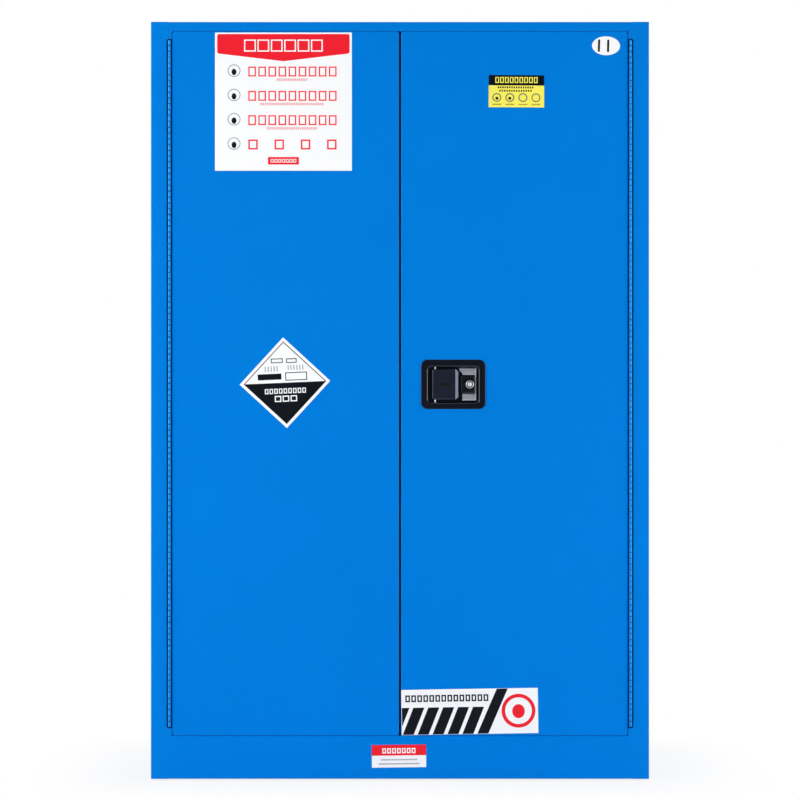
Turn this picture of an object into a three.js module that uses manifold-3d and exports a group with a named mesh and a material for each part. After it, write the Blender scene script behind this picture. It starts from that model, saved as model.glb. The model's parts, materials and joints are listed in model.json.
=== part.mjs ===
// A double-walled, two-door steel safety cabinet for hazardous liquids.
// Millimetres, +Z up, doors facing -Y, origin on the floor under the middle of the cabinet.
import * as THREE from "three";
import { mergeVertices } from "three/addons/utils/BufferGeometryUtils.js";
import Module from "manifold-3d";

const wasm = await Module();
wasm.setup();

// Body and sheet metal
const bodyWidth = 1090;
const bodyHeight = 1656;
const bodyDepth = 460;
const skirtGap = 4; // the feet hold the skirt this far off the floor
const sheet = 1.2;
const airGap = 38; // between the outer and the inner wall
const bendRadius = 2; // of the middle of the sheet
const seat = 0.3; // fit between pieces that rest on each other
const overrun = 5; // how far a cutter runs past what it cuts

// Front frame
const stileWidth = 37;
const headerHeight = 20.5;
const sillHeight = 94.5;
const railFlange = 16;
const earHeight = 17; // the ears close the hinge notch above and below the hinge
const earGap = 1;
const backFlange = 22;
const stopWidth = 24;

// Continuous hinges
const barrelRadius = 3.3;
const barrelProud = 1.5; // of the barrel's axis, before the face of the doors
const hingePinRadius = 1.5;
const hingeBoreRadius = 2.3;
const hingePinHead = 1;
const leafThickness = 1.3;
const leafDepth = 26;
const leafClearance = 0.4;
const knuckleCount = 33;
const knuckleGap = 0.4;

// Doors
const doorGap = 2;
const meetingGap = 4.2;
const doorCorner = 4;
const skinDepth = 36;
const skinLip = 14;
const linerMargin = 1;
const sealThickness = 4;
const sealWidth = 12;
const sealMargin = 1;
const edgeSealWidth = 1.8;
const edgeSealDepth = 12;
const edgeSealSetback = 3;
const edgeSealEndGap = 19;

// Base, sump and inner shell
const baseLift = 12;
const baseFlange = 20;
const sumpDepth = 50;
const sumpCorner = 6;
const linerFlange = 18;
const sumpLedge = 25;

// Levelling feet
const footInset = 62;
const footPadRadius = 20;
const footPadHeight = 8;
const footPadEdge = 5;
const footNeckRadius = 11;
const footNutRadius = 9;
const footNutHeight = 5;
const footStudRadius = 5;
const footStudTop = 52;
const footBossRadius = 10;
const footBossHeight = 12;

// Vents
const ventBore = 24.5;
const ventWall = 2.5;
const ventFlangeRadius = 38;
const ventFlange = 3;
const ventTail = 8;
const ventInset = 190; // of each vent from the nearer end of the body
const capFlangeRadius = 34;
const capFlange = 4;
const capPlugLength = 14;
const capGripLength = 50;
const capGripWidth = 12;
const capGripHeight = 8;
const arrestorWall = 2;
const arrestorLength = 24;
const arrestorHoleRadius = 3.1;
const arrestorHolePitch = 10;
const arrestorFieldRadius = 18;

// Earthing stud
const earthHeight = 110;
const earthInset = 60;
const earthStudRadius = 3.2;
const earthStudLength = 12;
const earthNutRadius = 6.5;
const earthNutHeight = 5;
const earthWasherRadius = 10;
const earthWasher = 1.5;

// Shelf standards, brackets and shelves
const standardWidth = 22;
const standardDepth = 8;
const standardInset = 60;
const standardEndGap = 12;
const slotPitch = 100;
const slotWidth = 5;
const slotHeight = 14;
const slotStart = 30;
const hookClearance = 0.6;
const hookHeight = 8;
const hookReach = 3;
const bracketThickness = 2;
const bracketHeight = 26;
const bracketLedge = 20;
const bracketOverhang = 16;
const lowerShelfSlot = 4;
const upperShelfSlot = 8;
const shelfLip = 30;
const shelfCorner = 5;
const shelfFrontGap = 20;
const shelfBackGap = 10;

// Recessed handle tray
const trayInset = 114.5; // of the tray's middle from the door's meeting edge
const trayHeight = 863; // of the tray's middle above the skirt
const trayWidth = 141;
const trayTall = 108;
const trayCorner = 14;
const trayFlange = 2;
const trayBevel = 1.2;
const trayWall = 1.5;
const recessWidth = 116;
const recessTall = 82;
const recessCorner = 8;
const recessDepth = 20;

// Paddle
const paddleShift = -18; // of the paddle's middle from the tray's
const paddleWidth = 60;
const paddleTall = 67;
const paddleProud = 0.8;
const paddleDepth = 9;
const paddleCorner = 5;
const paddleEdge = 3;
const paddleShell = 2.6;
const paddleChamferWidth = 7.5;
const paddleChamferDrop = 5;
const paddlePinInset = 8;
const paddlePinDepth = 6;
const paddlePinRadius = 2;
const paddleBoreClearance = 0.4;
const paddleLugRadius = 4.6;
const paddleLugLength = 10;
const tailOffset = 3; // of the tail's near side from the pin
const tailThickness = 3;
const tailTall = 12;
const tailDrop = 8;
const tailReach = 26;
const tailPlay = 1.6;
const tailSweep = 18.7; // how far from the pin the tail swings at the back of its slots

// Release slide, pushed by the paddle's tail
const releaseThickness = 1.8;
const releaseTravel = 11.2;
const releaseLength = 53.5;
const releaseWall = 3;
const releaseStudRadius = 2;
const releaseStudPlaces = [30, 46]; // from the paddle's pin

// Finger plate and lock housing, placed from the tray's middle
const fingerLeft = 13;
const fingerRight = 50;
const fingerHalfTall = 35;
const fingerRise = 10;
const fingerBend = 10;
const housingLeft = 18;
const housingRight = 47;
const housingHalfTall = 18.8;
const housingCorner = 2.5;
const housingFaceDepth = 3;
const keyPlace = 36.2;
const cylinderRadius = 7.5;
const cylinderCollarRadius = 8.8;
const cylinderCollar = 1.5;
const plugRadius = 5.2;
const plugClearance = 0.4;
const keywayWidth = 1.6;
const keywayLength = 7;
const keywayDepth = 3;

// Latch case and bolt mechanism, in layers behind the tray
const caseThickness = 2;
const caseHalfWidth = 52;
const caseHalfTall = 36;
const caseCorner = 4;
const caseScrewRadius = 4;
const caseScrewHeight = 1.6;
const caseScrewInset = 7;
const stapleWidth = 8;
const stapleWall = 1.6;
const layerGap = 0.4;
const camRadius = 12;
const camThickness = 3;
const camPinRadius = 2;
const camPinPlay = 0.35;
const camPinSideRoom = 0.6;
const boltThrow = 12;
const yokeHalfTall = 5;
const yokeWall = 2;
const rodBarThickness = 2.5;
const rodBarOffset = 15; // of each rod from the key's axis
const rodBarWidth = 9;
const rodBarReach = 46;
const rodSetback = 26; // of the rods' axes from the door's face
const rodRadius = 4;
const rodTaper = 8;
const rodTipRadius = 2.2;
const boltInset = 1; // of rods and bolt at rest, inside the door's edges
const boltTall = 14;
const boltRise = 8;
const boltThickness = 3;
const boltTail = 4;
const strikeClearance = 0.8;
const strikeThickness = 2;
const strikeHalfTall = 30;
const strikeDepth = 14;
const guideRadius = 5.8;
const guideFlangeRadius = 8;
const guideFlange = 2;
const guideClearance = 0.4;

// Cover over the mechanism, on the inside of the right door
const coverWidth = 160;
const coverTall = 178;
const coverCorner = 8;
const coverFieldCorner = 6;
const coverLap = 14;
const coverRise = 8;
const coverScrewRadius = 4;
const coverScrewHeight = 1.6;

// Facets
const bendSteps = 2;
const fineSides = 20;
const roundSides = 12;
const smallSides = 8;
const hexSides = 6;
const boreSides = 4;
const cornerSteps = 3;
const mergeTolerance = 1e-4;

// Places worked out from the sizes
const halfSheet = sheet / 2;
const halfWidth = bodyWidth / 2;
const wall = airGap + 2 * sheet;
const bodyBottom = skirtGap;
const bodyTop = bodyBottom + bodyHeight;
const backY = (bodyDepth + barrelProud + barrelRadius) / 2;
const frontY = backY - bodyDepth;
const openingHalf = halfWidth - stileWidth;
const hingeX = openingHalf - seat - barrelRadius;
const hingeY = frontY - barrelProud;
const headerBottom = bodyTop - headerHeight;
const sillTop = bodyBottom + sillHeight;
const doorBottom = sillTop + doorGap;
const doorTop = headerBottom - doorGap;
const doorOuter = hingeX - barrelRadius - seat;
const doorInner = meetingGap / 2;
const skinBackY = frontY + skinDepth;
const doorBackY = skinBackY + seat + sheet;
const stopY = doorBackY + seat + sealThickness;
const stopHalf = openingHalf - seat;
const hingeBottom = sillTop + earHeight + doorGap;
const hingeTop = headerBottom - earHeight - doorGap;
const linerX = halfWidth - wall;
const linerFrontY = stopY + sheet + seat;
const linerBackY = backY - wall;
const linerTop = bodyTop - wall;
const sumpRim = sillTop + seat + stopWidth;
const sumpFloor = sumpRim - sumpDepth;
const ledgeTop = sumpFloor - sheet - seat;
const basePlate = bodyBottom + baseLift;
const panelHalf = halfWidth - sheet - bendRadius;
const backPanelY = backY - sheet - seat;
const footX = halfWidth - footInset;
const footBackY = backY - footInset;
const footFrontY = frontY + footInset;
const ventY = (frontY + backY) / 2;
const standardX = linerX - standardDepth;
const standardYs = [linerFrontY + standardInset, linerBackY - standardInset];
const standardBottom = sumpRim + standardEndGap;
const standardTop = linerTop - standardEndGap;
const slotZ = (index) => standardBottom + slotStart + index * slotPitch;
const trayX = doorInner + trayInset;
const trayZ = bodyBottom + trayHeight;
const trayFloorY = frontY + recessDepth;
const trayBackY = trayFloorY + trayWall;
const pinX = trayX + paddleShift - paddleWidth / 2 + paddlePinInset;
const pinY = frontY + paddlePinDepth;
const tailZ = trayZ - tailDrop;
const keyX = trayX + keyPlace;
const housingFaceY = frontY + housingFaceDepth;
const caseY = trayBackY + seat;
const caseBackY = caseY + caseThickness;
const camY = caseBackY + layerGap;
const rodBarY = camY + camThickness + layerGap;
const boltY = rodBarY + rodBarThickness + layerGap;
const boltBackY = boltY + boltThickness;
const boltZ = trayZ + boltRise;
const releaseY = caseBackY + seat;
const rodY = frontY + rodSetback;
const rodX = (sign) => keyX + sign * rodBarOffset;
const camOrbit = boltThrow / Math.SQRT2; // a quarter turn moves each pin by the throw
const camStart = boltThrow / 2; // of the pins from the key's axis, both ways, at rest

// Solids from three.js geometry

/** A closed geometry as a solid that can be joined and cut. */
function solidOf(geometry) {
  const loose = geometry.index ? geometry.toNonIndexed() : geometry;
  const bare = new THREE.BufferGeometry();
  bare.setAttribute("position", loose.getAttribute("position").clone());
  const merged = mergeVertices(bare, mergeTolerance);
  const corners = Array.from(merged.index.array);
  const kept = [];
  for (let i = 0; i < corners.length; i += 3) {
    const [a, b, c] = corners.slice(i, i + 3);
    if (a !== b && b !== c && c !== a) kept.push(a, b, c);
  }
  const build = (triangles) =>
    new wasm.Manifold(
      new wasm.Mesh({
        numProp: 3,
        vertProperties: new Float32Array(merged.attributes.position.array),
        triVerts: new Uint32Array(triangles),
      }),
    );
  const made = build(kept);
  return made.volume() < 0 ? build(kept.reverse()) : made;
}

/** A solid back as a geometry. */
function geometryOf(solid) {
  const mesh = solid.getMesh();
  const places = new Float32Array(mesh.numVert * 3);
  for (let i = 0; i < mesh.numVert; i++) {
    places.set(mesh.vertProperties.subarray(i * mesh.numProp, i * mesh.numProp + 3), i * 3);
  }
  const geometry = new THREE.BufferGeometry();
  geometry.setAttribute("position", new THREE.BufferAttribute(places, 3));
  geometry.setIndex(new THREE.BufferAttribute(mesh.triVerts, 1));
  geometry.computeVertexNormals();
  return geometry;
}

const joined = (...solids) => solids.reduce((whole, one) => whole.add(one));
const cut = (solid, ...cutters) => cutters.reduce((left, one) => left.subtract(one), solid);

/** A box between two places on each axis. */
function block([x0, x1], [y0, y1], [z0, z1]) {
  const box = new THREE.BoxGeometry(Math.abs(x1 - x0), Math.abs(y1 - y0), Math.abs(z1 - z0));
  box.translate((x0 + x1) / 2, (y0 + y1) / 2, (z0 + z1) / 2);
  return solidOf(box);
}

/** Both ends of a stretch, from its middle and half its length. */
const span = (middle, half) => [middle - half, middle + half];

const axisX = new THREE.Vector3(1, 0, 0);
const axisY = new THREE.Vector3(0, 1, 0);
const axisZ = new THREE.Vector3(0, 0, 1);
const planes = {
  x: [axisY, axisZ, axisX],
  y: [axisX, axisZ, axisY],
  z: [axisX, axisY, axisZ],
};

/** A shape swept along an axis between two places; edge rounds the rim where it starts. */
function swept(shape, axis, from, to, edge = 0) {
  const length = Math.abs(to - from);
  const [across, up, along] = planes[axis];
  const basis = new THREE.Matrix4().makeBasis(
    across,
    up,
    along.clone().multiplyScalar(Math.sign(to - from)),
  );
  const place = (geometry) => {
    geometry.applyMatrix4(basis);
    geometry.translate(...along.clone().multiplyScalar(from));
    return solidOf(geometry);
  };
  if (!edge) return place(new THREE.ExtrudeGeometry(shape, { depth: length, bevelEnabled: false }));
  const rounded = new THREE.ExtrudeGeometry(shape, {
    depth: length,
    bevelThickness: edge,
    bevelSize: edge,
    bevelOffset: -edge,
    bevelSegments: bendSteps,
  });
  rounded.translate(0, 0, edge);
  rounded.computeBoundingBox();
  const size = rounded.boundingBox.getSize(new THREE.Vector3());
  const middle = rounded.boundingBox.getCenter(new THREE.Vector3());
  const spare = new THREE.BoxGeometry(size.x + edge, size.y + edge, size.z);
  spare.translate(middle.x, middle.y, length + size.z / 2);
  return cut(place(rounded), place(spare));
}

const alongX = (shape, from, to, edge) => swept(shape, "x", from, to, edge);
const alongY = (shape, from, to, edge) => swept(shape, "y", from, to, edge);
const alongZ = (shape, from, to, edge) => swept(shape, "z", from, to, edge);

/** A closed outline from its corner points. */
const outline = (points) => new THREE.Shape(points.map(([u, v]) => new THREE.Vector2(u, v)));

/** An outline with openings in it. */
function withHoles(shape, ...holes) {
  shape.holes.push(...holes);
  return shape;
}

/** Points on an arc about a centre. */
function arc([u, v], radius, from, to, steps) {
  return Array.from({ length: steps + 1 }, (_, i) => {
    const angle = from + ((to - from) * i) / steps;
    return [u + radius * Math.cos(angle), v + radius * Math.sin(angle)];
  });
}

/** A rectangle with round corners. */
function roundedRectangle([u0, u1], [v0, v1], radius, steps = cornerSteps) {
  const quarter = Math.PI / 2;
  return outline([
    ...arc([u1 - radius, v0 + radius], radius, -quarter, 0, steps),
    ...arc([u1 - radius, v1 - radius], radius, 0, quarter, steps),
    ...arc([u0 + radius, v1 - radius], radius, quarter, 2 * quarter, steps),
    ...arc([u0 + radius, v0 + radius], radius, 2 * quarter, 3 * quarter, steps),
  ]);
}

/** A regular polygon, or a circle in facets, with its first corner at an angle. */
const polygon = (centre, radius, sides, start = 0) =>
  outline(arc(centre, radius, start, start + 2 * Math.PI, sides).slice(0, sides));

/** The outline of bent sheet: its corners are those of the middle of the sheet, in order. */
function bentSheet(corners, thickness = sheet, radius = bendRadius) {
  const left = [];
  const right = [];
  const put = (point, along) => {
    const across = new THREE.Vector2(-along.y, along.x).multiplyScalar(thickness / 2);
    left.push([point.x + across.x, point.y + across.y]);
    right.unshift([point.x - across.x, point.y - across.y]);
  };
  const places = corners.map(([u, v]) => new THREE.Vector2(u, v));
  const direction = (i) => places[i + 1].clone().sub(places[i]).normalize();
  put(places[0], direction(0));
  for (let i = 1; i < places.length - 1; i++) {
    const before = direction(i - 1);
    const after = direction(i);
    const turn = Math.atan2(before.cross(after), before.dot(after));
    const start = places[i].clone().addScaledVector(before, -radius * Math.tan(Math.abs(turn) / 2));
    const inward = new THREE.Vector2(-before.y, before.x).multiplyScalar(Math.sign(turn) * radius);
    const centre = start.clone().add(inward);
    for (let k = 0; k <= bendSteps; k++) {
      const part = (turn * k) / bendSteps;
      const point = start.clone().rotateAround(centre, part);
      put(point, before.clone().rotateAround(new THREE.Vector2(), part));
    }
  }
  put(places[places.length - 1], direction(places.length - 2));
  return outline([...left, ...right]);
}

/** A tray of bent sheet with its floor at one place and its rim at another. */
function pan(shapeAt, sweep, floor, rim, thickness = sheet) {
  const rise = Math.sign(rim - floor);
  const outside = sweep(shapeAt(0), floor, rim, bendRadius + thickness / 2);
  const inside = sweep(
    shapeAt(thickness),
    floor + rise * thickness,
    rim + rise * overrun,
    bendRadius - thickness / 2,
  );
  return cut(outside, inside);
}

/** A round bar along z, from z0 to z1, at x, y. */
const barZ = (at, radius, z0, z1, sides = roundSides) => alongZ(polygon(at, radius, sides), z0, z1);
/** A round bar along y, from y0 to y1, at x, z. */
const barY = (at, radius, y0, y1, sides = roundSides) => alongY(polygon(at, radius, sides), y0, y1);
/** A round bar along x, from x0 to x1, at y, z. */
const barX = (at, radius, x0, x1, sides = roundSides) => alongX(polygon(at, radius, sides), x0, x1);

/** A profile of [radius, distance] points turned about a line from the origin given. */
function turned(points, direction, origin, sides = fineSides) {
  const profile = points.map(([r, h]) => new THREE.Vector2(r, h));
  const lathe = new THREE.LatheGeometry(profile, sides);
  lathe.applyQuaternion(new THREE.Quaternion().setFromUnitVectors(axisY, direction));
  lathe.translate(...origin);
  return solidOf(lathe);
}

// Colours
const finish = (color, roughness, metalness) =>
  new THREE.MeshStandardMaterial({ color, roughness, metalness });
const paint = finish(0x0079d8, 0.45, 0);
const zinc = finish(0xb4b8bb, 0.4, 0.9);
const steel = finish(0x9fa3a8, 0.3, 1);
const enamel = finish(0x20242e, 0.35, 0);
const rubber = finish(0x070708, 0.8, 0);
const brass = finish(0xc09a4a, 0.3, 1);
const nylon = finish(0xd8d8d4, 0.6, 0);

const cabinet = new THREE.Group();

/** Adds one named piece to the cabinet. */
function piece(name, solid, material) {
  const mesh = new THREE.Mesh(geometryOf(solid), material);
  mesh.name = name;
  cabinet.add(mesh);
}

const sides = [
  { side: "left", sign: -1, ventZ: bodyBottom + ventInset },
  { side: "right", sign: 1, ventZ: bodyTop - ventInset },
];

// Outer shell

/** A side panel, folded round the front as a stile and inwards at the back. */
function outerSide({ sign, ventZ }) {
  const fold = bentSheet([
    [sign * (halfWidth - backFlange), backY - halfSheet],
    [sign * (halfWidth - halfSheet), backY - halfSheet],
    [sign * (halfWidth - halfSheet), frontY + halfSheet],
    [sign * (openingHalf + halfSheet), frontY + halfSheet],
    [sign * (openingHalf + halfSheet), stopY + sheet],
  ]);
  const underTop = block(
    [sign * (openingHalf - overrun), sign * (openingHalf + sheet + bendRadius)],
    [frontY + railFlange, stopY + sheet + overrun],
    [bodyTop - sheet - seat, bodyTop + overrun],
  );
  const through = [sign * (halfWidth - overrun), sign * (halfWidth + overrun)];
  const ventHole = barX([ventY, ventZ], ventBore + ventWall + seat, ...through, fineSides);
  const panel = cut(alongZ(fold, bodyBottom, bodyTop), underTop, ventHole);
  if (sign > 0) return panel;
  const earthPlace = [backY - earthInset, bodyBottom + earthHeight];
  return cut(panel, barX(earthPlace, earthStudRadius + seat, ...through, smallSides));
}

/** The back panel, lying inside the side panels' back flanges. */
function outerBack() {
  const top = bodyTop - sheet - bendRadius;
  return block([-panelHalf, panelHalf], [backPanelY - sheet, backPanelY], [bodyBottom, top]);
}

/** The top panel, folded down over the back between the side panels' flanges. */
function outerTop() {
  const fold = bentSheet([
    [frontY + railFlange + seat, bodyTop - halfSheet],
    [backY - halfSheet, bodyTop - halfSheet],
    [backY - halfSheet, bodyTop - backFlange],
  ]);
  const half = halfWidth - sheet - seat;
  const corner = (sign) =>
    block(
      [sign * (halfWidth - backFlange - seat), sign * (halfWidth + overrun)],
      [backY - sheet - bendRadius, backY + overrun],
      [bodyTop - backFlange - overrun, bodyTop + overrun],
    );
  const overStile = (sign) =>
    block(
      [sign * (openingHalf + sheet + bendRadius), sign * panelHalf],
      [frontY + sheet + bendRadius, frontY + railFlange + sheet],
      [bodyTop - sheet, bodyTop],
    );
  return cut(
    joined(alongX(fold, -half, half), overStile(-1), overStile(1)),
    corner(-1),
    corner(1),
  );
}

/** The base plate, its edges turned up, with a boss for each foot. */
function outerBottom() {
  const front = frontY + sheet + seat;
  const back = backPanelY - sheet - seat;
  const half = halfWidth - sheet - seat;
  const fold = bentSheet([
    [front + halfSheet, basePlate + baseFlange],
    [front + halfSheet, basePlate + halfSheet],
    [back - halfSheet, basePlate + halfSheet],
    [back - halfSheet, basePlate + baseFlange],
  ]);
  const notch = (sign) =>
    block(
      [sign * stopHalf, sign * (half + overrun)],
      [front - overrun, linerFrontY],
      [basePlate - overrun, basePlate + baseFlange + overrun],
    );
  const places = [-footX, footX].flatMap((x) => [footFrontY, footBackY].map((y) => [x, y]));
  const bossTop = basePlate + sheet + footBossHeight;
  const bosses = places.map((at) => barZ(at, footBossRadius, basePlate, bossTop));
  const bores = places.map((at) =>
    barZ(at, footStudRadius + seat, basePlate - overrun, bossTop + overrun, smallSides),
  );
  return cut(joined(alongX(fold, -half, half), ...bosses), notch(-1), notch(1), ...bores);
}

/** The ears of a rail, which close the hinge notch beside a door's corner. */
function ears(from, to) {
  const ear = (sign) =>
    block([sign * (doorOuter + earGap), sign * stopHalf], [frontY, frontY + sheet], [from, to]);
  return [ear(-1), ear(1)];
}

/** The way through a rail's flange for a locking rod. */
const rodHole = (sign, z) =>
  barZ([rodX(sign), rodY], rodRadius + strikeClearance, z - overrun, z + overrun);

/** The header rail, folded back above the doors as far as the door stop. */
function headerRail() {
  const fold = bentSheet([
    [frontY + railFlange, bodyTop - halfSheet],
    [frontY + halfSheet, bodyTop - halfSheet],
    [frontY + halfSheet, headerBottom + halfSheet],
    [stopY + sheet, headerBottom + halfSheet],
  ]);
  const upper = headerBottom + sheet + bendRadius;
  return cut(
    joined(alongX(fold, -stopHalf, stopHalf), ...ears(headerBottom - earHeight, upper)),
    rodHole(1, headerBottom),
  );
}

/** The base rail, folded back under the doors as far as the door stop. */
function baseRail() {
  const fold = bentSheet([
    [frontY + railFlange, bodyBottom + halfSheet],
    [frontY + halfSheet, bodyBottom + halfSheet],
    [frontY + halfSheet, sillTop - halfSheet],
    [stopY + sheet, sillTop - halfSheet],
  ]);
  const lower = sillTop - sheet - bendRadius;
  return cut(
    joined(alongX(fold, -stopHalf, stopHalf), ...ears(lower, sillTop + earHeight)),
    rodHole(-1, sillTop),
  );
}

for (const here of sides) piece(`outer_side_${here.side}`, outerSide(here), paint);
piece("outer_back", outerBack(), paint);
piece("outer_top", outerTop(), paint);
piece("outer_bottom", outerBottom(), zinc);
piece("header_rail", headerRail(), paint);
piece("base_rail", baseRail(), paint);

// Inner shell

/** An inner side wall, flanged outwards behind the stile, with a ledge under the sump. */
function innerSide({ sign, ventZ }) {
  const fold = bentSheet([
    [sign * (linerX + linerFlange), linerFrontY + halfSheet],
    [sign * (linerX + halfSheet), linerFrontY + halfSheet],
    [sign * (linerX + halfSheet), linerBackY + sheet],
  ]);
  const ledge = block(
    [sign * (linerX - sumpLedge), sign * (linerX + sheet)],
    [linerFrontY + sheet + bendRadius, linerBackY + sheet],
    [ledgeTop - sheet, ledgeTop],
  );
  const through = [sign * (linerX - overrun), sign * (linerX + overrun)];
  const hole = barX([ventY, ventZ], ventBore + ventWall + seat, ...through, fineSides);
  return cut(joined(alongZ(fold, ledgeTop - sheet, linerTop + sheet), ledge), hole);
}

const lineInner = linerX - seat;

/** The inner back and top in one sheet, flanged upwards behind the header rail. */
function innerBackAndTop() {
  const fold = bentSheet([
    [linerFrontY + halfSheet, linerTop + linerFlange],
    [linerFrontY + halfSheet, linerTop + halfSheet],
    [linerBackY + halfSheet, linerTop + halfSheet],
    [linerBackY + halfSheet, ledgeTop],
  ]);
  return alongX(fold, -lineInner, lineInner);
}

/** The leak-proof pan that holds spilt liquid. */
function sumpPan() {
  const shapeAt = (inset) =>
    roundedRectangle(
      [-lineInner + inset, lineInner - inset],
      [linerFrontY + inset, linerBackY - seat - inset],
      sumpCorner - inset,
    );
  return pan(shapeAt, alongZ, sumpFloor - sheet, sumpRim);
}

const stopInner = stopHalf - stopWidth;
const stopLow = sillTop + seat;
const stopHigh = headerBottom - seat;

/** A ring about the doorway, between two distances from its inner edge. */
function doorwayRing(from, to) {
  const ringOf = (by) =>
    roundedRectangle(
      [-stopInner - by, stopInner + by],
      [stopLow + stopWidth - by, stopHigh - stopWidth + by],
      bendRadius,
      1,
    );
  return withHoles(ringOf(to), ringOf(from));
}

/** The frame that the doors close against. */
const doorStop = () => alongY(doorwayRing(0, stopWidth), stopY, stopY + sheet);

/** The strip that seals the doors round their edges. */
const doorSeal = () =>
  alongY(doorwayRing(sealMargin, sealMargin + sealWidth), stopY - sealThickness, stopY);

for (const here of sides) piece(`inner_side_${here.side}`, innerSide(here), zinc);
piece("inner_back_and_top", innerBackAndTop(), zinc);
piece("sump_pan", sumpPan(), zinc);
piece("door_stop_frame", doorStop(), zinc);
piece("door_seal", doorSeal(), rubber);

// Levelling feet

/** A foot: a pad that carries a lock nut and a threaded stud. */
function foot(at) {
  const pad = turned(
    [
      [0, 0],
      [footPadRadius, 0],
      [footPadRadius, footPadEdge],
      [footNeckRadius, footPadHeight],
      [0, footPadHeight],
    ],
    axisZ,
    [...at, 0],
  );
  const nut = alongZ(polygon(at, footNutRadius, hexSides), footPadEdge, footPadHeight + footNutHeight);
  return joined(pad, nut, barZ(at, footStudRadius, footPadEdge, footStudTop, smallSides));
}

for (const { side, sign } of sides) {
  piece(`foot_front_${side}`, foot([sign * footX, footFrontY]), zinc);
  piece(`foot_back_${side}`, foot([sign * footX, footBackY]), zinc);
}

// Vents

/** The threaded tube of a vent, through both walls, with its outer flange. */
function ventTube({ sign, ventZ }) {
  const outer = ventBore + ventWall;
  const profile = [
    [ventBore, linerX - ventTail],
    [outer, linerX - ventTail],
    [outer, halfWidth],
    [ventFlangeRadius, halfWidth],
    [ventFlangeRadius, halfWidth + ventFlange],
    [ventBore, halfWidth + ventFlange],
    [ventBore, linerX - ventTail],
  ];
  return turned(profile, axisX.clone().multiplyScalar(sign), [0, ventY, ventZ]);
}

/** The perforated cup that stops a flame from passing a vent. */
function flameArrestor({ sign, ventZ }) {
  const outer = ventBore - seat;
  const start = linerX - ventTail;
  const profile = [
    [0, start],
    [outer, start],
    [outer, start + arrestorLength],
    [outer - arrestorWall, start + arrestorLength],
    [outer - arrestorWall, start + arrestorWall],
    [0, start + arrestorWall],
  ];
  const cup = turned(profile, axisX.clone().multiplyScalar(sign), [0, ventY, ventZ]);
  const rowPitch = arrestorHolePitch * Math.sin(Math.PI / 3);
  const reach = Math.ceil(arrestorFieldRadius / rowPitch);
  const holes = [];
  for (let row = -reach; row <= reach; row++) {
    for (let column = -reach; column <= reach; column++) {
      const y = (column + row / 2) * arrestorHolePitch;
      const z = row * rowPitch;
      if (Math.hypot(y, z) > arrestorFieldRadius) continue;
      const through = [sign * (start - overrun), sign * (start + overrun)];
      holes.push(barX([ventY + y, ventZ + z], arrestorHoleRadius, ...through, hexSides));
    }
  }
  return cut(cup, ...holes);
}

/** The screw-in cap of a vent, with a bar to turn it by. */
function ventCap({ sign, ventZ }) {
  const face = halfWidth + ventFlange;
  const plug = ventBore - seat;
  const profile = [
    [0, face - capPlugLength],
    [plug, face - capPlugLength],
    [plug, face],
    [capFlangeRadius, face],
    [capFlangeRadius, face + capFlange],
    [0, face + capFlange],
  ];
  const grip = alongX(
    roundedRectangle(span(ventY, capGripLength / 2), span(ventZ, capGripWidth / 2), capGripWidth / 2),
    sign * (face + capFlange / 2),
    sign * (face + capFlange + capGripHeight),
  );
  return joined(turned(profile, axisX.clone().multiplyScalar(sign), [0, ventY, ventZ]), grip);
}

for (const here of sides) {
  piece(`vent_tube_${here.side}`, ventTube(here), zinc);
  piece(`flame_arrestor_${here.side}`, flameArrestor(here), brass);
  piece(`vent_cap_${here.side}`, ventCap(here), zinc);
}

/** The earthing stud, with a nut inside and a nut and washer outside. */
function earthStud() {
  const at = [backY - earthInset, bodyBottom + earthHeight];
  const inside = -halfWidth + sheet;
  const washerFace = -halfWidth - earthWasher;
  return joined(
    barX(at, earthStudRadius, inside + earthStudLength, -halfWidth - earthStudLength, smallSides),
    barX(at, earthNutRadius, inside + earthNutHeight, inside, hexSides),
    barX(at, earthWasherRadius, -halfWidth, washerFace),
    barX(at, earthNutRadius, -halfWidth, washerFace - earthNutHeight, hexSides),
  );
}

piece("earth_stud", earthStud(), brass);

// Shelves

/** A slotted standard on an inner side wall. */
function standard(sign, y) {
  const base = sign * (standardX + halfSheet);
  const foldHalf = standardWidth / 2 - halfSheet;
  const fold = bentSheet([
    [sign * lineInner, y - foldHalf],
    [base, y - foldHalf],
    [base, y + foldHalf],
    [sign * lineInner, y + foldHalf],
  ]);
  const through = [sign * (standardX - overrun), sign * (standardX + sheet + halfSheet)];
  const slots = [];
  for (let i = 0; slotZ(i) + slotHeight < standardTop; i++) {
    slots.push(block(through, span(y, slotWidth / 2), span(slotZ(i), slotHeight / 2)));
  }
  return cut(alongZ(fold, standardBottom, standardTop), ...slots);
}

const bracketFace = standardX - seat - bracketThickness;

/** An angle bracket whose two hooks hang in the slots of a pair of standards. */
function shelfBracket(sign, slot) {
  const z = slotZ(slot);
  const low = z - bracketHeight / 2;
  const angle = bentSheet(
    [
      [sign * (bracketFace + bracketThickness / 2), z + bracketHeight / 2],
      [sign * (bracketFace + bracketThickness / 2), low + bracketThickness / 2],
      [sign * (bracketFace - bracketLedge), low + bracketThickness / 2],
    ],
    bracketThickness,
  );
  const hook = outline([
    [sign * bracketFace, z + hookHeight / 2],
    [sign * (standardX + sheet + seat + hookReach), z + hookHeight / 2],
    [sign * (standardX + sheet + seat + hookReach), z - hookHeight],
    [sign * (standardX + sheet + seat), z - hookHeight],
    [sign * (standardX + sheet + seat), z - hookHeight / 2],
    [sign * bracketFace, z - hookHeight / 2],
  ]);
  const hookHalf = slotWidth / 2 - hookClearance;
  const hooks = standardYs.map((y) => alongY(hook, y - hookHalf, y + hookHalf));
  const ends = [standardYs[0] - bracketOverhang, standardYs[1] + bracketOverhang];
  return joined(alongY(angle, ...ends), ...hooks);
}

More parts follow.
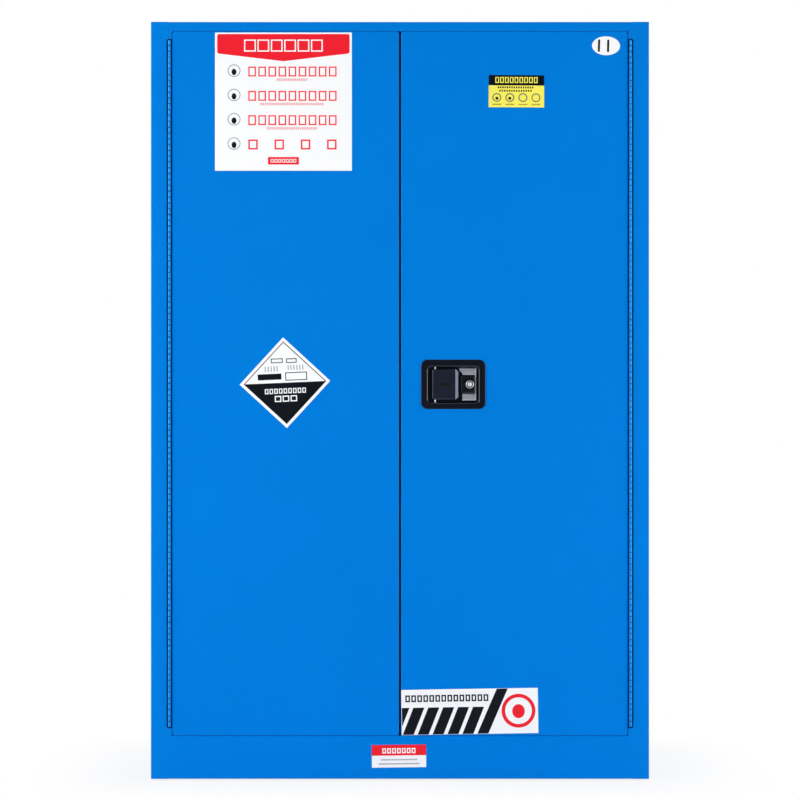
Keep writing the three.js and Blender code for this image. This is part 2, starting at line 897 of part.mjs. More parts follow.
/** A shelf: a pan with upturned lips, lying on the ledges of two brackets. */
function shelf(slot) {
  const under = slotZ(slot) - bracketHeight / 2 + bracketThickness;
  const half = bracketFace - seat;
  const shapeAt = (inset) =>
    roundedRectangle(
      [-half + inset, half - inset],
      [linerFrontY + shelfFrontGap + inset, linerBackY - shelfBackGap - inset],
      shelfCorner - inset,
    );
  return pan(shapeAt, alongZ, under + seat, under + seat + shelfLip);
}

const shelves = [
  ["lower", lowerShelfSlot],
  ["upper", upperShelfSlot],
];
for (const { side, sign } of sides) {
  piece(`shelf_standard_front_${side}`, standard(sign, standardYs[0]), zinc);
  piece(`shelf_standard_back_${side}`, standard(sign, standardYs[1]), zinc);
  for (const [level, slot] of shelves) {
    piece(`shelf_bracket_${level}_${side}`, shelfBracket(sign, slot), zinc);
  }
}
for (const [level, slot] of shelves) piece(`shelf_${level}`, shelf(slot), zinc);

// Continuous hinges

const knucklePitch = (hingeTop - hingeBottom) / knuckleCount;

/** A hinge leaf; toward is +1 for the leaf on the stile's side of the barrel, else -1. */
function hingeLeaf(sign, toward, first) {
  const at = [sign * hingeX, hingeY];
  const outer = sign * (hingeX + toward * barrelRadius);
  const inner = outer - sign * toward * leafThickness;
  const plateStart = hingeY + barrelRadius + leafClearance;
  const toothEnd = hingeY + barrelRadius / 2;
  const lows = [];
  for (let i = first; i < knuckleCount; i += 2) lows.push(hingeBottom + i * knucklePitch);
  const highOf = (low) => low + knucklePitch - knuckleGap;
  const teeth = lows.flatMap((low) => [
    [plateStart, low + knuckleGap],
    [toothEnd, low + knuckleGap],
    [toothEnd, highOf(low) - knuckleGap],
    [plateStart, highOf(low) - knuckleGap],
  ]);
  const comb = outline([
    ...teeth,
    [plateStart, hingeTop],
    [hingeY + leafDepth, hingeTop],
    [hingeY + leafDepth, hingeBottom],
    [plateStart, hingeBottom],
  ]);
  const knuckle = () =>
    withHoles(
      polygon(at, barrelRadius, hexSides, Math.PI / 2),
      polygon(at, hingeBoreRadius, boreSides),
    );
  const knuckles = lows.map((low) => alongZ(knuckle(), low, highOf(low)));
  return joined(alongX(comb, ...[inner, outer].sort((a, b) => a - b)), ...knuckles);
}

/** The pin of a hinge, with a flat head at each end. */
function hingePin(sign) {
  const at = [sign * hingeX, hingeY];
  const top = hingeTop + hingePinHead;
  const bottom = hingeBottom - hingePinHead;
  return joined(
    barZ(at, hingePinRadius, bottom, top, hexSides),
    barZ(at, barrelRadius - seat, bottom, hingeBottom - seat, hexSides),
    barZ(at, barrelRadius - seat, hingeTop, top, hexSides),
  );
}

for (const { side, sign } of sides) {
  piece(`hinge_frame_leaf_${side}`, hingeLeaf(sign, 1, 0), steel);
  piece(`hinge_door_leaf_${side}`, hingeLeaf(sign, -1, 1), steel);
  piece(`hinge_pin_${side}`, hingePin(sign), steel);
}

// Doors

/** A door's outline, drawn in by a distance. */
const doorShape = (sign, inset) =>
  roundedRectangle(
    [sign * (doorInner + inset), sign * (doorOuter - inset)].sort((a, b) => a - b),
    [doorBottom + inset, doorTop - inset],
    Math.max(doorCorner - inset, halfSheet),
  );

const boltSlot = (sign) =>
  block(
    [sign * (doorInner - overrun), sign * (doorInner + overrun + strikeThickness)],
    [boltY - camPinPlay, boltBackY + camPinPlay],
    span(boltZ, boltTall / 2 + strikeClearance),
  );

/** The doubling plate welded inside the left door's meeting edge, where the bolt enters. */
function strikePlate() {
  const lipY = skinBackY - halfSheet;
  return block(
    [-doorInner - halfSheet, -doorInner - sheet - strikeThickness],
    [lipY - strikeDepth, lipY],
    span(boltZ, strikeHalfTall),
  );
}

/** The outer skin of a door: a deep pan with lips turned in at the back. */
function doorSkin(sign) {
  const shell = pan((inset) => doorShape(sign, inset), alongY, frontY, skinBackY);
  const lips = withHoles(doorShape(sign, halfSheet), doorShape(sign, skinLip));
  const skin = joined(shell, alongY(lips, skinBackY - sheet, skinBackY));
  if (sign < 0) return cut(joined(skin, strikePlate()), boltSlot(sign));
  const trayHole = alongY(
    roundedRectangle(
      span(trayX, recessWidth / 2 + trayWall + seat),
      span(trayZ, recessTall / 2 + trayWall + seat),
      recessCorner + trayWall,
    ),
    frontY - overrun,
    frontY + overrun,
  );
  const guideHole = (end, z) =>
    barZ([rodX(end), rodY], guideRadius + seat, z - overrun, z + overrun);
  const guideHoles = [guideHole(1, doorTop), guideHole(-1, doorBottom)];
  return cut(skin, boltSlot(sign), trayHole, ...guideHoles);
}

/** The inner sheet of a door, lying on the skin's lips. */
function doorLiner(sign) {
  const plate = alongY(doorShape(sign, linerMargin), skinBackY + seat, doorBackY);
  if (sign < 0) return plate;
  const access = alongY(
    roundedRectangle(
      span(trayX, coverWidth / 2 - coverLap),
      span(trayZ, coverTall / 2 - coverLap),
      coverCorner,
    ),
    skinBackY - overrun,
    doorBackY + overrun,
  );
  return cut(plate, access);
}

for (const { side, sign } of sides) {
  piece(`door_skin_${side}`, doorSkin(sign), paint);
  piece(`door_liner_${side}`, doorLiner(sign), paint);
}

/** The strip on the left door's meeting edge. */
function edgeSeal() {
  return block(
    [-doorInner, -doorInner + edgeSealWidth],
    [frontY + edgeSealSetback, frontY + edgeSealSetback + edgeSealDepth],
    [doorBottom + edgeSealEndGap, doorTop - edgeSealEndGap],
  );
}

piece("edge_seal", edgeSeal(), rubber);

// Recessed handle

/** The slot that lets the paddle's tail through a plate behind it. */
const tailSlot = (y0, y1) =>
  block(
    [pinX + tailOffset - tailPlay, pinX + tailSweep],
    [y0 - overrun, y1 + overrun],
    span(tailZ, tailTall / 2 + tailPlay / 2),
  );

const cylinderHole = (y0, y1) =>
  barY([keyX, trayZ], cylinderRadius + seat, y0 - overrun, y1 + overrun, fineSides);

/** The recessed tray, whose flange lies on the door's face. */
function handleTray() {
  const recess = (grow) =>
    roundedRectangle(
      span(trayX, recessWidth / 2 + grow),
      span(trayZ, recessTall / 2 + grow),
      recessCorner + grow,
    );
  const flange = alongY(
    roundedRectangle(span(trayX, trayWidth / 2), span(trayZ, trayTall / 2), trayCorner),
    frontY - trayFlange,
    frontY,
    trayBevel,
  );
  const body = alongY(recess(trayWall), frontY - trayFlange / 2, trayBackY);
  const pocket = alongY(recess(0), frontY - trayFlange - overrun, trayFloorY);
  const pinReach = recessTall / 2 + trayWall + overrun;
  return cut(
    joined(flange, body),
    pocket,
    barZ([pinX, pinY], paddlePinRadius + seat, ...span(trayZ, pinReach), smallSides),
    tailSlot(trayFloorY, trayBackY),
    cylinderHole(trayFloorY, trayBackY),
  );
}

/** The paddle: a thick shell with a turned lip, lugs on its pin and a tail behind. */
function paddle() {
  const left = pinX - paddlePinInset;
  const right = left + paddleWidth;
  const face = frontY - paddleProud;
  const half = paddleTall / 2;
  const shell = cut(
    alongY(
      roundedRectangle([left, right], span(trayZ, half), paddleCorner),
      face,
      face + paddleDepth,
      paddleEdge,
    ),
    block(
      [left + paddleShell, right - paddleShell],
      [face + paddleShell, face + paddleDepth + overrun],
      span(trayZ, half - paddleShell),
    ),
  );
  const chamfer = (up) =>
    alongY(
      outline([
        [right - paddleChamferWidth, trayZ + up * half],
        [right - paddleChamferWidth, trayZ + up * (half + overrun)],
        [right + overrun, trayZ + up * (half + overrun)],
        [right + overrun, trayZ + up * (half - paddleChamferDrop)],
        [right, trayZ + up * (half - paddleChamferDrop)],
      ]),
      face - overrun,
      face + paddleDepth + overrun,
    );
  const lug = (up) =>
    barZ(
      [pinX, pinY],
      paddleLugRadius,
      trayZ + up * (half - paddleShell / 2),
      trayZ + up * (half - paddleLugLength),
    );
  const tail = block(
    [pinX + tailOffset, pinX + tailOffset + tailThickness],
    [face + paddleShell / 2, pinY + tailReach],
    span(tailZ, tailTall / 2),
  );
  const bore = barZ(
    [pinX, pinY],
    paddlePinRadius + paddleBoreClearance,
    ...span(trayZ, half + overrun),
    smallSides,
  );
  return cut(joined(cut(shell, chamfer(-1), chamfer(1)), lug(-1), lug(1), tail), bore);
}

/** The pin that the paddle turns on, held in the tray's upper and lower walls. */
const paddlePin = () =>
  barZ([pinX, pinY], paddlePinRadius, ...span(trayZ, recessTall / 2 + trayWall), smallSides);

/** The bright plate under the fingers, cut out round the lock housing. */
function fingerPlate() {
  const right = trayX + fingerRight - halfSheet;
  const plateY = trayFloorY - seat - halfSheet;
  const fold = bentSheet([
    [trayX + fingerLeft, plateY],
    [right - fingerBend, plateY],
    [right, plateY - fingerRise / 2],
    [right, plateY - fingerRise],
  ]);
  const window = block(
    [trayX + housingLeft - seat, trayX + housingRight + seat],
    [frontY, trayFloorY + overrun],
    span(trayZ, housingHalfTall + seat),
  );
  return cut(alongZ(fold, ...span(trayZ, fingerHalfTall)), window);
}

/** The block round the key cylinder. */
function lockHousing() {
  const shape = roundedRectangle(
    [trayX + housingLeft, trayX + housingRight],
    span(trayZ, housingHalfTall),
    housingCorner,
  );
  const body = alongY(shape, housingFaceY, trayFloorY - seat, trayBevel);
  return cut(body, cylinderHole(housingFaceY, trayFloorY));
}

/** The fixed barrel of the lock, with its collar. */
function lockCylinder() {
  const collarY = housingFaceY - cylinderCollar;
  const barrel = barY([keyX, trayZ], cylinderRadius, collarY, caseBackY, fineSides);
  const collar = barY([keyX, trayZ], cylinderCollarRadius, collarY, housingFaceY, fineSides);
  const bore = plugRadius + plugClearance;
  const through = barY([keyX, trayZ], bore, collarY - overrun, caseBackY + overrun, fineSides);
  return cut(joined(barrel, collar), through);
}

/** A drive pin on the cam, by its place from the key's axis. */
const camPin = (u, v, end) => barY([keyX + u, trayZ + v], camPinRadius, camY, end, smallSides);

/** The plug that the key turns, riveted to a cam whose right and left pins drive the rods
 * and whose longer top pin drives the bolt. */
function lockPlug() {
  const front = housingFaceY - cylinderCollar + seat;
  const keyway = block(
    span(keyX, keywayWidth / 2),
    [front - overrun, front + keywayDepth],
    span(trayZ, keywayLength / 2),
  );
  const rodPinEnd = rodBarY + rodBarThickness;
  return cut(
    joined(
      barY([keyX, trayZ], plugRadius, front, camY + camThickness / 2, fineSides),
      barY([keyX, trayZ], camRadius, camY, camY + camThickness, fineSides),
      camPin(camStart, -camStart, rodPinEnd),
      camPin(-camStart, camStart, rodPinEnd),
      camPin(camStart, camStart, boltBackY),
    ),
    keyway,
  );
}

piece("handle_tray", handleTray(), enamel);
piece("paddle", paddle(), enamel);
piece("paddle_pin", paddlePin(), steel);
piece("finger_plate", fingerPlate(), steel);
piece("lock_housing", lockHousing(), enamel);
piece("lock_cylinder", lockCylinder(), steel);
piece("lock_plug", lockPlug(), brass);

// Mechanism behind the tray

/** The plate behind the tray, with its screws, the slide's studs and the bolt's staple. */
function latchCase() {
  const plate = alongY(
    roundedRectangle(span(trayX, caseHalfWidth), span(trayZ, caseHalfTall), caseCorner),
    caseY,
    caseBackY,
  );
  const screws = [-1, 1].flatMap((u) =>
    [-1, 1].map((v) =>
      barY(
        [trayX + u * (caseHalfWidth - caseScrewInset), trayZ + v * (caseHalfTall - caseScrewInset)],
        caseScrewRadius,
        caseY,
        caseBackY + caseScrewHeight,
        smallSides,
      ),
    ),
  );
  const studs = releaseStudPlaces.map((place) =>
    barY([pinX + place, tailZ], releaseStudRadius, caseY, releaseY + releaseThickness, smallSides),
  );
  const stapleX = trayX - caseHalfWidth;
  const stapleHalf = boltTall / 2 + camPinPlay;
  const staple = cut(
    block(
      [stapleX, stapleX + stapleWidth],
      [caseBackY - caseThickness / 2, boltBackY + camPinPlay + stapleWall],
      span(boltZ, stapleHalf + stapleWall),
    ),
    block(
      [stapleX - overrun, stapleX + stapleWidth + overrun],
      [boltY - camPinPlay, boltBackY + camPinPlay],
      span(boltZ, stapleHalf),
    ),
  );
  return cut(
    joined(plate, ...screws, ...studs, staple),
    tailSlot(caseY, caseBackY),
    cylinderHole(caseY, caseBackY),
  );
}

/** The slide that the paddle's tail pushes, running on two studs. */
function releaseSlide() {
  const left = pinX + tailOffset - tailPlay - releaseWall;
  const half = tailTall / 2 + tailPlay / 2;
  const plate = block(
    [left, left + releaseLength],
    [releaseY, releaseY + releaseThickness],
    span(tailZ, half + releaseWall),
  );
  const window = block(
    [left + releaseWall, left + releaseWall + tailThickness + 2 * tailPlay],
    [releaseY - overrun, releaseY + releaseThickness + overrun],
    span(tailZ, half),
  );
  const slots = releaseStudPlaces.map((place) =>
    block(
      [pinX + place - releaseTravel - releaseStudRadius - seat, pinX + place + releaseStudRadius + seat],
      [releaseY - overrun, releaseY + releaseThickness + overrun],
      span(tailZ, releaseStudRadius + seat),
    ),
  );
  return cut(plate, window, ...slots);
}

const yokeSlotHalf = camPinRadius + camPinPlay;
const yokeNear = camStart - camPinRadius - camPinSideRoom;
const yokeFar = camOrbit + camPinRadius + camPinSideRoom;

/** A locking rod: a slotted tab on the cam, a flat bar and a round rod with a tapered tip. */
function lockRod(sign, edge) {
  const layer = [rodBarY, rodBarY + rodBarThickness];
  const pinZ = trayZ - sign * camStart;
  const barHalf = rodBarWidth / 2;
  const tabStart = pinZ - sign * yokeHalfTall;
  const barEnd = trayZ + sign * rodBarReach;
  const tab = block(
    [keyX + sign * (yokeNear - yokeWall), rodX(sign)],
    layer,
    span(pinZ, yokeHalfTall),
  );
  const bar = block(span(rodX(sign), barHalf), layer, [tabStart, barEnd]);
  const slot = block(
    [keyX + sign * yokeNear, keyX + sign * yokeFar],
    [rodBarY - overrun, rodBarY + rodBarThickness + overrun],
    span(pinZ, yokeSlotHalf),
  );
  const rodStart = trayZ + sign * (caseHalfTall + seat);
  const tip = edge - sign * boltInset;
  const taper = turned(
    [
      [0, 0],
      [rodRadius, 0],
      [rodRadius, Math.abs(tip - rodStart) - rodTaper],
      [rodTipRadius, Math.abs(tip - rodStart)],
      [0, Math.abs(tip - rodStart)],
    ],
    axisZ.clone().multiplyScalar(sign),
    [rodX(sign), rodY, rodStart],
    smallSides,
  );
  return joined(cut(joined(tab, bar), slot), taper);
}

/** The bolt that reaches into the left door. */
function meetingBolt() {
  const pinAt = keyX + camStart;
  const bar = alongY(
    roundedRectangle(
      [doorInner + boltInset, pinAt + yokeSlotHalf + boltTail],
      span(boltZ, boltTall / 2),
      bendRadius,
    ),
    boltY,
    boltBackY,
  );
  const slot = block(
    span(pinAt, yokeSlotHalf),
    [boltY - overrun, boltBackY + overrun],
    [trayZ + yokeNear, trayZ + yokeFar],
  );
  return cut(bar, slot);
}

/** The bush that guides a rod through the door's edge. */
function rodGuide(sign, edge) {
  const at = [rodX(sign), rodY];
  const inside = edge - sign * (sheet + seat);
  const end = inside - sign * guideFlange;
  const neck = barZ(at, guideRadius, end, edge - sign * seat);
  const flange = barZ(at, guideFlangeRadius, end, inside);
  const bore = barZ(at, rodRadius + guideClearance, end - sign * overrun, edge + sign * overrun);
  return cut(joined(neck, flange), bore);
}

piece("latch_case", latchCase(), zinc);
piece("release_slide", releaseSlide(), zinc);
piece("lock_rod_top", lockRod(1, doorTop), zinc);
piece("lock_rod_bottom", lockRod(-1, doorBottom), zinc);
piece("meeting_bolt", meetingBolt(), steel);
piece("rod_guide_top", rodGuide(1, doorTop), nylon);
piece("rod_guide_bottom", rodGuide(-1, doorBottom), nylon);

/** The raised cover over the mechanism, with its four screws. */
function lockCover() {
  const shapeAt = (inset, corner) =>
    roundedRectangle(
      span(trayX, coverWidth / 2 - inset),
      span(trayZ, coverTall / 2 - inset),
      corner,
    );
  const flange = alongY(shapeAt(0, coverCorner), doorBackY, doorBackY + sheet);
  const raised = alongY(
    shapeAt(coverLap, coverFieldCorner),
    doorBackY + coverRise,
    doorBackY,
    bendRadius + halfSheet,
  );
  const hollow = alongY(
    shapeAt(coverLap + sheet, coverFieldCorner - sheet),
    doorBackY + coverRise - sheet,
    doorBackY - overrun,
    bendRadius - halfSheet,
  );
  const screws = [-1, 1].flatMap((u) =>
    [-1, 1].map((v) =>
      barY(
        [
          trayX + u * (coverWidth / 2 - coverLap / 2),
          trayZ + v * (coverTall / 2 - coverLap / 2),
        ],
        coverScrewRadius,
        doorBackY,
        doorBackY + sheet + coverScrewHeight,
        smallSides,
      ),
    ),
  );
  return joined(cut(joined(flange, raised), hollow), ...screws);
}

piece("lock_cover", lockCover(), paint);

export default cabinet;
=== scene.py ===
"""The looks of a double-walled, two-door steel safety cabinet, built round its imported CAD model.

Metres, +Z up, doors facing -Y, origin on the floor under the middle of the cabinet.
"""

from __future__ import annotations

import json
import logging
import math
from collections.abc import Callable, Iterator, Sequence
from contextlib import contextmanager
from dataclasses import dataclass, field
from enum import Enum
from typing import Any

import bmesh
import bpy
from mathutils import Matrix, Vector

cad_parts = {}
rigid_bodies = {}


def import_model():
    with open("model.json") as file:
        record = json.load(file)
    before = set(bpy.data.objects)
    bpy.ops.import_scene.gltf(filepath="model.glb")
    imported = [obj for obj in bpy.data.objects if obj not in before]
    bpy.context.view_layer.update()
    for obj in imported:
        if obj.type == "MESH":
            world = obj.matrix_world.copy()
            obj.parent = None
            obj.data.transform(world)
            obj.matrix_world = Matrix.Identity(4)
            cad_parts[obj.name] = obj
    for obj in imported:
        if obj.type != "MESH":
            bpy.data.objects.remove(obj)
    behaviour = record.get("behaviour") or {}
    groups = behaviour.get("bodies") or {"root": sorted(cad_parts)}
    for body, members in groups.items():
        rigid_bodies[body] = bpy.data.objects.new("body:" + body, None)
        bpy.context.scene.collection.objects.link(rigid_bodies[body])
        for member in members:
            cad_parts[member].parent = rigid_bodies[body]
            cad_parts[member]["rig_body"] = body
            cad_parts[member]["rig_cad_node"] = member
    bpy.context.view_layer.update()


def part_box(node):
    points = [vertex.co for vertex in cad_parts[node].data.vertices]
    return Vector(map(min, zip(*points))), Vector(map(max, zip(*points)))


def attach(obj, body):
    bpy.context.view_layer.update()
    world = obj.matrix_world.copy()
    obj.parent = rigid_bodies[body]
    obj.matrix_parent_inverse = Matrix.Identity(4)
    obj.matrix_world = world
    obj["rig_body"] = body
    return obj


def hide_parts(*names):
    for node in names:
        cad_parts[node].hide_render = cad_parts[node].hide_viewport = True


log = logging.getLogger("cabinet")

TOLERANCE = 1e-5
PARALLEL = 0.999
FLAT_ANGLE = math.radians(0.5)
EDGE_STEPS = 4
CORNER_STEPS = 8
CLEAR = 0.01
UP = (0, 0, 1)
FORWARD = (0, -1, 0)

Object = bpy.types.Object
Tree = bpy.types.NodeTree
Test = Callable[[Any], bool]
Numbers = Sequence[float]
Profile = Sequence[tuple[float, float]]
Colour = tuple[float, float, float]


class Side(Enum):
    """A half of the cabinet, seen from the front."""

    LEFT = -1
    RIGHT = 1

    @property
    def word(self) -> str:
        """The side's name as the CAD nodes spell it."""
        return self.name.lower()


class Element(Enum):
    """What an operator acts on, by its name in a mesh."""

    VERT = "verts"
    EDGE = "edges"
    FACE = "faces"


class Axis(Enum):
    """An axis of the shared frame, by its index in a vector."""

    X = 0
    Y = 1
    Z = 2


@dataclass(frozen=True)
class Box:
    """The lowest and the highest corner of something."""

    low: Vector
    high: Vector

    @classmethod
    def of(cls, node: str) -> Box:
        """The box of a CAD node at rest."""
        return cls(*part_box(node))

    @property
    def centre(self) -> Vector:
        """The middle of the box."""
        return (self.low + self.high) / 2

    @property
    def size(self) -> Vector:
        """The box's extent on each axis."""
        return self.high - self.low


def pair(stem: str) -> tuple[str, ...]:
    """The left and the right node of a kind."""
    return tuple(f"{stem}_{side.word}" for side in Side)


# Modelling


def choose(*objects: Object) -> None:
    """Selects only these objects and makes the first one active.

    Args:
        *objects: What is selected, the active one first.
    """
    bpy.ops.object.select_all(action="DESELECT")
    for each in objects:
        each.select_set(True)
    bpy.context.view_layer.objects.active = objects[0]


@contextmanager
def editing(piece: Object) -> Iterator[None]:
    """Holds a piece in edit mode.

    Args:
        piece: The piece.

    Returns:
        The context in which operators act on its mesh.
    """
    choose(piece)
    bpy.ops.object.mode_set(mode="EDIT")
    try:
        yield
    finally:
        bpy.ops.object.mode_set(mode="OBJECT")


def pick(piece: Object, kind: Element, test: Test) -> int:
    """Selects the elements that pass a test, in edit mode.

    Args:
        piece: The object in edit mode.
        kind: Whether vertices, edges or faces are selected.
        test: Says of an element whether it is wanted.

    Returns:
        How many elements were selected.
    """
    bpy.ops.mesh.select_mode(type=kind.name)
    bpy.ops.mesh.select_all(action="DESELECT")
    mesh = bmesh.from_edit_mesh(piece.data)
    chosen = [element for element in getattr(mesh, kind.value) if test(element)]
    for element in chosen:
        element.select_set(True)
    bmesh.update_edit_mesh(piece.data)
    return len(chosen)


def points_of(element: Any) -> list[Vector]:
    """The corners of a vertex, an edge or a face."""
    return [element.co] if hasattr(element, "co") else [v.co for v in element.verts]


def at(axis: Axis, place: float) -> Test:
    """Tests whether all of an element lies at a place on an axis."""
    return between(axis, place, place)


def between(axis: Axis, low: float, high: float) -> Test:
    """Tests whether all of an element lies between two places on an axis."""
    return lambda e: all(low - TOLERANCE < p[axis.value] < high + TOLERANCE for p in points_of(e))


def along(axis: Axis) -> Test:
    """Tests whether an edge runs along an axis."""
    return lambda e: abs((e.verts[0].co - e.verts[1].co).normalized()[axis.value]) > PARALLEL


def both(*tests: Test) -> Test:
    """Tests whether an element passes every one of several tests."""
    return lambda e: all(test(e) for test in tests)


def settled(name: str) -> Object:
    """Names the active object and moves its place into its mesh.

    Args:
        name: Its name from now on.

    Returns:
        The object.
    """
    made = bpy.context.object
    made.name = made.data.name = name
    bpy.ops.object.transform_apply(location=True, rotation=True, scale=True)
    return made


def cuboid(name: str, corner: Numbers, opposite: Numbers) -> Object:
    """A block between two opposite corners.

    Args:
        name: Its name.
        corner: One corner.
        opposite: The corner opposite to it.

    Returns:
        The block.
    """
    low = Vector([min(ends) for ends in zip(corner, opposite)])
    high = Vector([max(ends) for ends in zip(corner, opposite)])
    bpy.ops.object.select_all(action="DESELECT")
    bpy.ops.mesh.primitive_cube_add(size=1, location=(low + high) / 2, scale=high - low)
    return settled(name)


def cylinder(name: str, start: Numbers, end: Numbers, radius: float, sides: int = 32) -> Object:
    """A round bar between two points.

    Args:
        name: Its name.
        start: The middle of one end.
        end: The middle of the other end.
        radius: Its radius.
        sides: How many flats it has round it.

    Returns:
        The bar.
    """
    start, end = Vector(start), Vector(end)
    run = end - start
    bpy.ops.object.select_all(action="DESELECT")
    bpy.ops.mesh.primitive_cylinder_add(
        vertices=sides,
        radius=radius,
        depth=run.length,
        location=(start + end) / 2,
        rotation=run.to_track_quat("Z", "Y").to_euler(),
    )
    return settled(name)


def bore(place: Numbers, axis: Axis, radius: float, reach: float, sides: int = 32) -> Object:
    """A round cutter about a place, which reaches both ways along an axis."""
    way = Vector([reach if each is axis else 0.0 for each in Axis])
    return cylinder("bore", Vector(place) - way, Vector(place) + way, radius, sides)


def turned(
    name: str, start: Numbers, direction: Numbers, profile: Profile, sides: int = 40
) -> Object:
    """A turned piece, drawn out of a round bar step by step.

    Args:
        name: The piece's name.
        start: The middle of its first end.
        direction: The way that it is drawn out.
        profile: Radius and distance from the start, in order. The first distance is nought.
        sides: How many sides it has round.

    Returns:
        The piece, closed at both ends.
    """
    start, way = Vector(start), Vector(direction).normalized()
    (radius, _), (_, reach) = profile[0], profile[1]
    far = start + way * reach
    piece = cylinder(name, start, far, radius, sides)

    def at_end(face: Any) -> bool:
        """Whether a face lies at the far end."""
        return all(abs((p - far).dot(way)) < TOLERANCE for p in points_of(face))

    with editing(piece):
        pick(piece, Element.FACE, at_end)
        for step, (width, distance) in enumerate(profile[1:]):
            move = start + way * distance - far
            if step:
                bpy.ops.mesh.extrude_region_move(TRANSFORM_OT_translate={"value": move})
            far = start + way * distance
            share = width / radius
            bpy.ops.transform.resize(value=(share, share, share), center_override=far)
            radius = width
        bpy.ops.mesh.select_all(action="SELECT")
        bpy.ops.mesh.normals_make_consistent(inside=False)
    return piece


def double_ended(end: Profile, length: float) -> Profile:
    """A turned profile whose second end is like its first."""
    return [*end, *((radius, length - distance) for radius, distance in reversed(end))]


def bevel(piece: Object, test: Test, width: float, steps: int = EDGE_STEPS) -> None:
    """Rounds the edges of a piece that pass a test.

    Args:
        piece: The piece.
        test: Which of its edges are rounded.
        width: How far the rounding reaches from an edge.
        steps: How many faces it has across.
    """
    with editing(piece):
        if pick(piece, Element.EDGE, test):
            bpy.ops.mesh.bevel(offset=width, segments=steps, affect="EDGES", clamp_overlap=True)


def shifted(piece: Object, test: Test, move: Numbers) -> None:
    """Moves the vertices of a piece that pass a test.

    Args:
        piece: The piece.
        test: Which of its vertices move.
        move: How far they move.
    """
    with editing(piece):
        pick(piece, Element.VERT, test)
        bpy.ops.transform.translate(value=move)


def modify(piece: Object, kind: str, **settings: Any) -> None:
    """Adds a modifier with its settings and applies it.

    Args:
        piece: The piece.
        kind: The modifier's type.
        **settings: Its properties.
    """
    choose(piece)
    modifier = piece.modifiers.new(kind.title(), kind)
    for name, value in settings.items():
        setattr(modifier, name, value)
    bpy.ops.object.modifier_apply(modifier=modifier.name)


def ease(piece: Object, width: float, limit: float = 30) -> None:
    """Rounds every edge of a piece that is sharper than a limit in degrees."""
    angle = math.radians(limit)
    modify(piece, "BEVEL", width=width, segments=2, limit_method="ANGLE", angle_limit=angle)


def carve(piece: Object, *cutters: Object) -> Object:
    """Cuts pieces out of a piece and removes the cutters.

    Args:
        piece: What is cut.
        *cutters: What is cut out of it.

    Returns:
        The piece.
    """
    for cutter in cutters:
        modify(piece, "BOOLEAN", operation="DIFFERENCE", object=cutter, solver="EXACT")
        bpy.data.objects.remove(cutter)
    return piece


def united(piece: Object, *others: Object) -> Object:
    """Joins solids into one closed solid.

    Args:
        piece: The solid that the others join.
        *others: The others.

    Returns:
        The whole solid.
    """
    for other in others:
        modify(piece, "BOOLEAN", operation="UNION", object=other, solver="EXACT")
        bpy.data.objects.remove(other)
    return piece


def gathered(name: str, *parts: Object) -> Object:
    """Joins parts into one object, each with its own mesh and materials.

    Args:
        name: The whole object's name.
        *parts: The parts.

    Returns:
        The object.
    """
    choose(*parts)
    if len(parts) > 1:
        bpy.ops.object.join()
    whole = bpy.context.object
    whole.name = whole.data.name = name
    return whole


def repeated(piece: Object, count: int, step: Numbers) -> Object:
    """Copies a piece's mesh in a row.

    Args:
        piece: The piece.
        count: How many there are in the row.
        step: How far each is from the one before.

    Returns:
        The row as one piece.
    """
    modify(
        piece,
        "ARRAY",
        count=count,
        use_relative_offset=False,
        use_constant_offset=True,
        constant_offset_displace=step,
    )
    return piece


def rounded_block(
    name: str, low: Numbers, high: Numbers, axis: Axis, corner: float, edge: float = 0.0
) -> Object:
    """A block with round corners about an axis, its rim rounded at the lower end of the axis.

    Args:
        name: Its name.
        low: Its lowest corner.
        high: Its highest corner.
        axis: The axis that its round corners are about.
        corner: Their radius.
        edge: How far the rim's rounding reaches, or 0.

    Returns:
        The block.
    """
    block = cuboid(name, low, high)
    bevel(block, along(axis), corner, CORNER_STEPS)
    if edge:
        bevel(block, at(axis, low[axis.value]), edge)
    return block


def refined(node: str, edge: float) -> Object:
    """A copy of a CAD node with its triangles merged into flats and its edges eased.

    Args:
        node: The CAD node.
        edge: How far an edge's rounding reaches, or 0.

    Returns:
        The copy.
    """
    choose(bpy.data.objects[node])
    bpy.ops.object.duplicate()
    copy = bpy.context.object
    copy.parent = None
    copy.name = copy.data.name = f"{node}_finished"
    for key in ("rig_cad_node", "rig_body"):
        del copy[key]
    copy.data.materials.clear()
    bpy.ops.mesh.customdata_custom_splitnormals_clear()
    with editing(copy):
        bpy.ops.mesh.select_all(action="SELECT")
        bpy.ops.mesh.remove_doubles(threshold=TOLERANCE / 10)
        bpy.ops.mesh.dissolve_limited(angle_limit=FLAT_ANGLE)
    if edge:
        ease(copy, edge)
    return copy


# Finishes


class Texture(Enum):
    """How the surface of a finish is broken up: stretch of the pattern on each axis."""

    EVEN = (1.0, 1.0, 1.0)
    BRUSHED_ACROSS = (0.04, 1.0, 1.0)


def link(tree: Tree, source: Any, target: Any) -> None:
    """Joins an output socket to an input socket."""
    tree.links.new(source, target)


def feed(tree: Tree, value: Any, socket: Any) -> None:
    """Gives an input socket a number, a colour in sRGB shares or another socket's output.

    Args:
        tree: The tree of the nodes.
        value: The number, colour or output.
        socket: The input.
    """
    if isinstance(value, tuple):
        socket.default_value = (*map(linear, value), 1.0)
    elif isinstance(value, (int, float)):
        socket.default_value = value
    else:
        link(tree, value, socket)


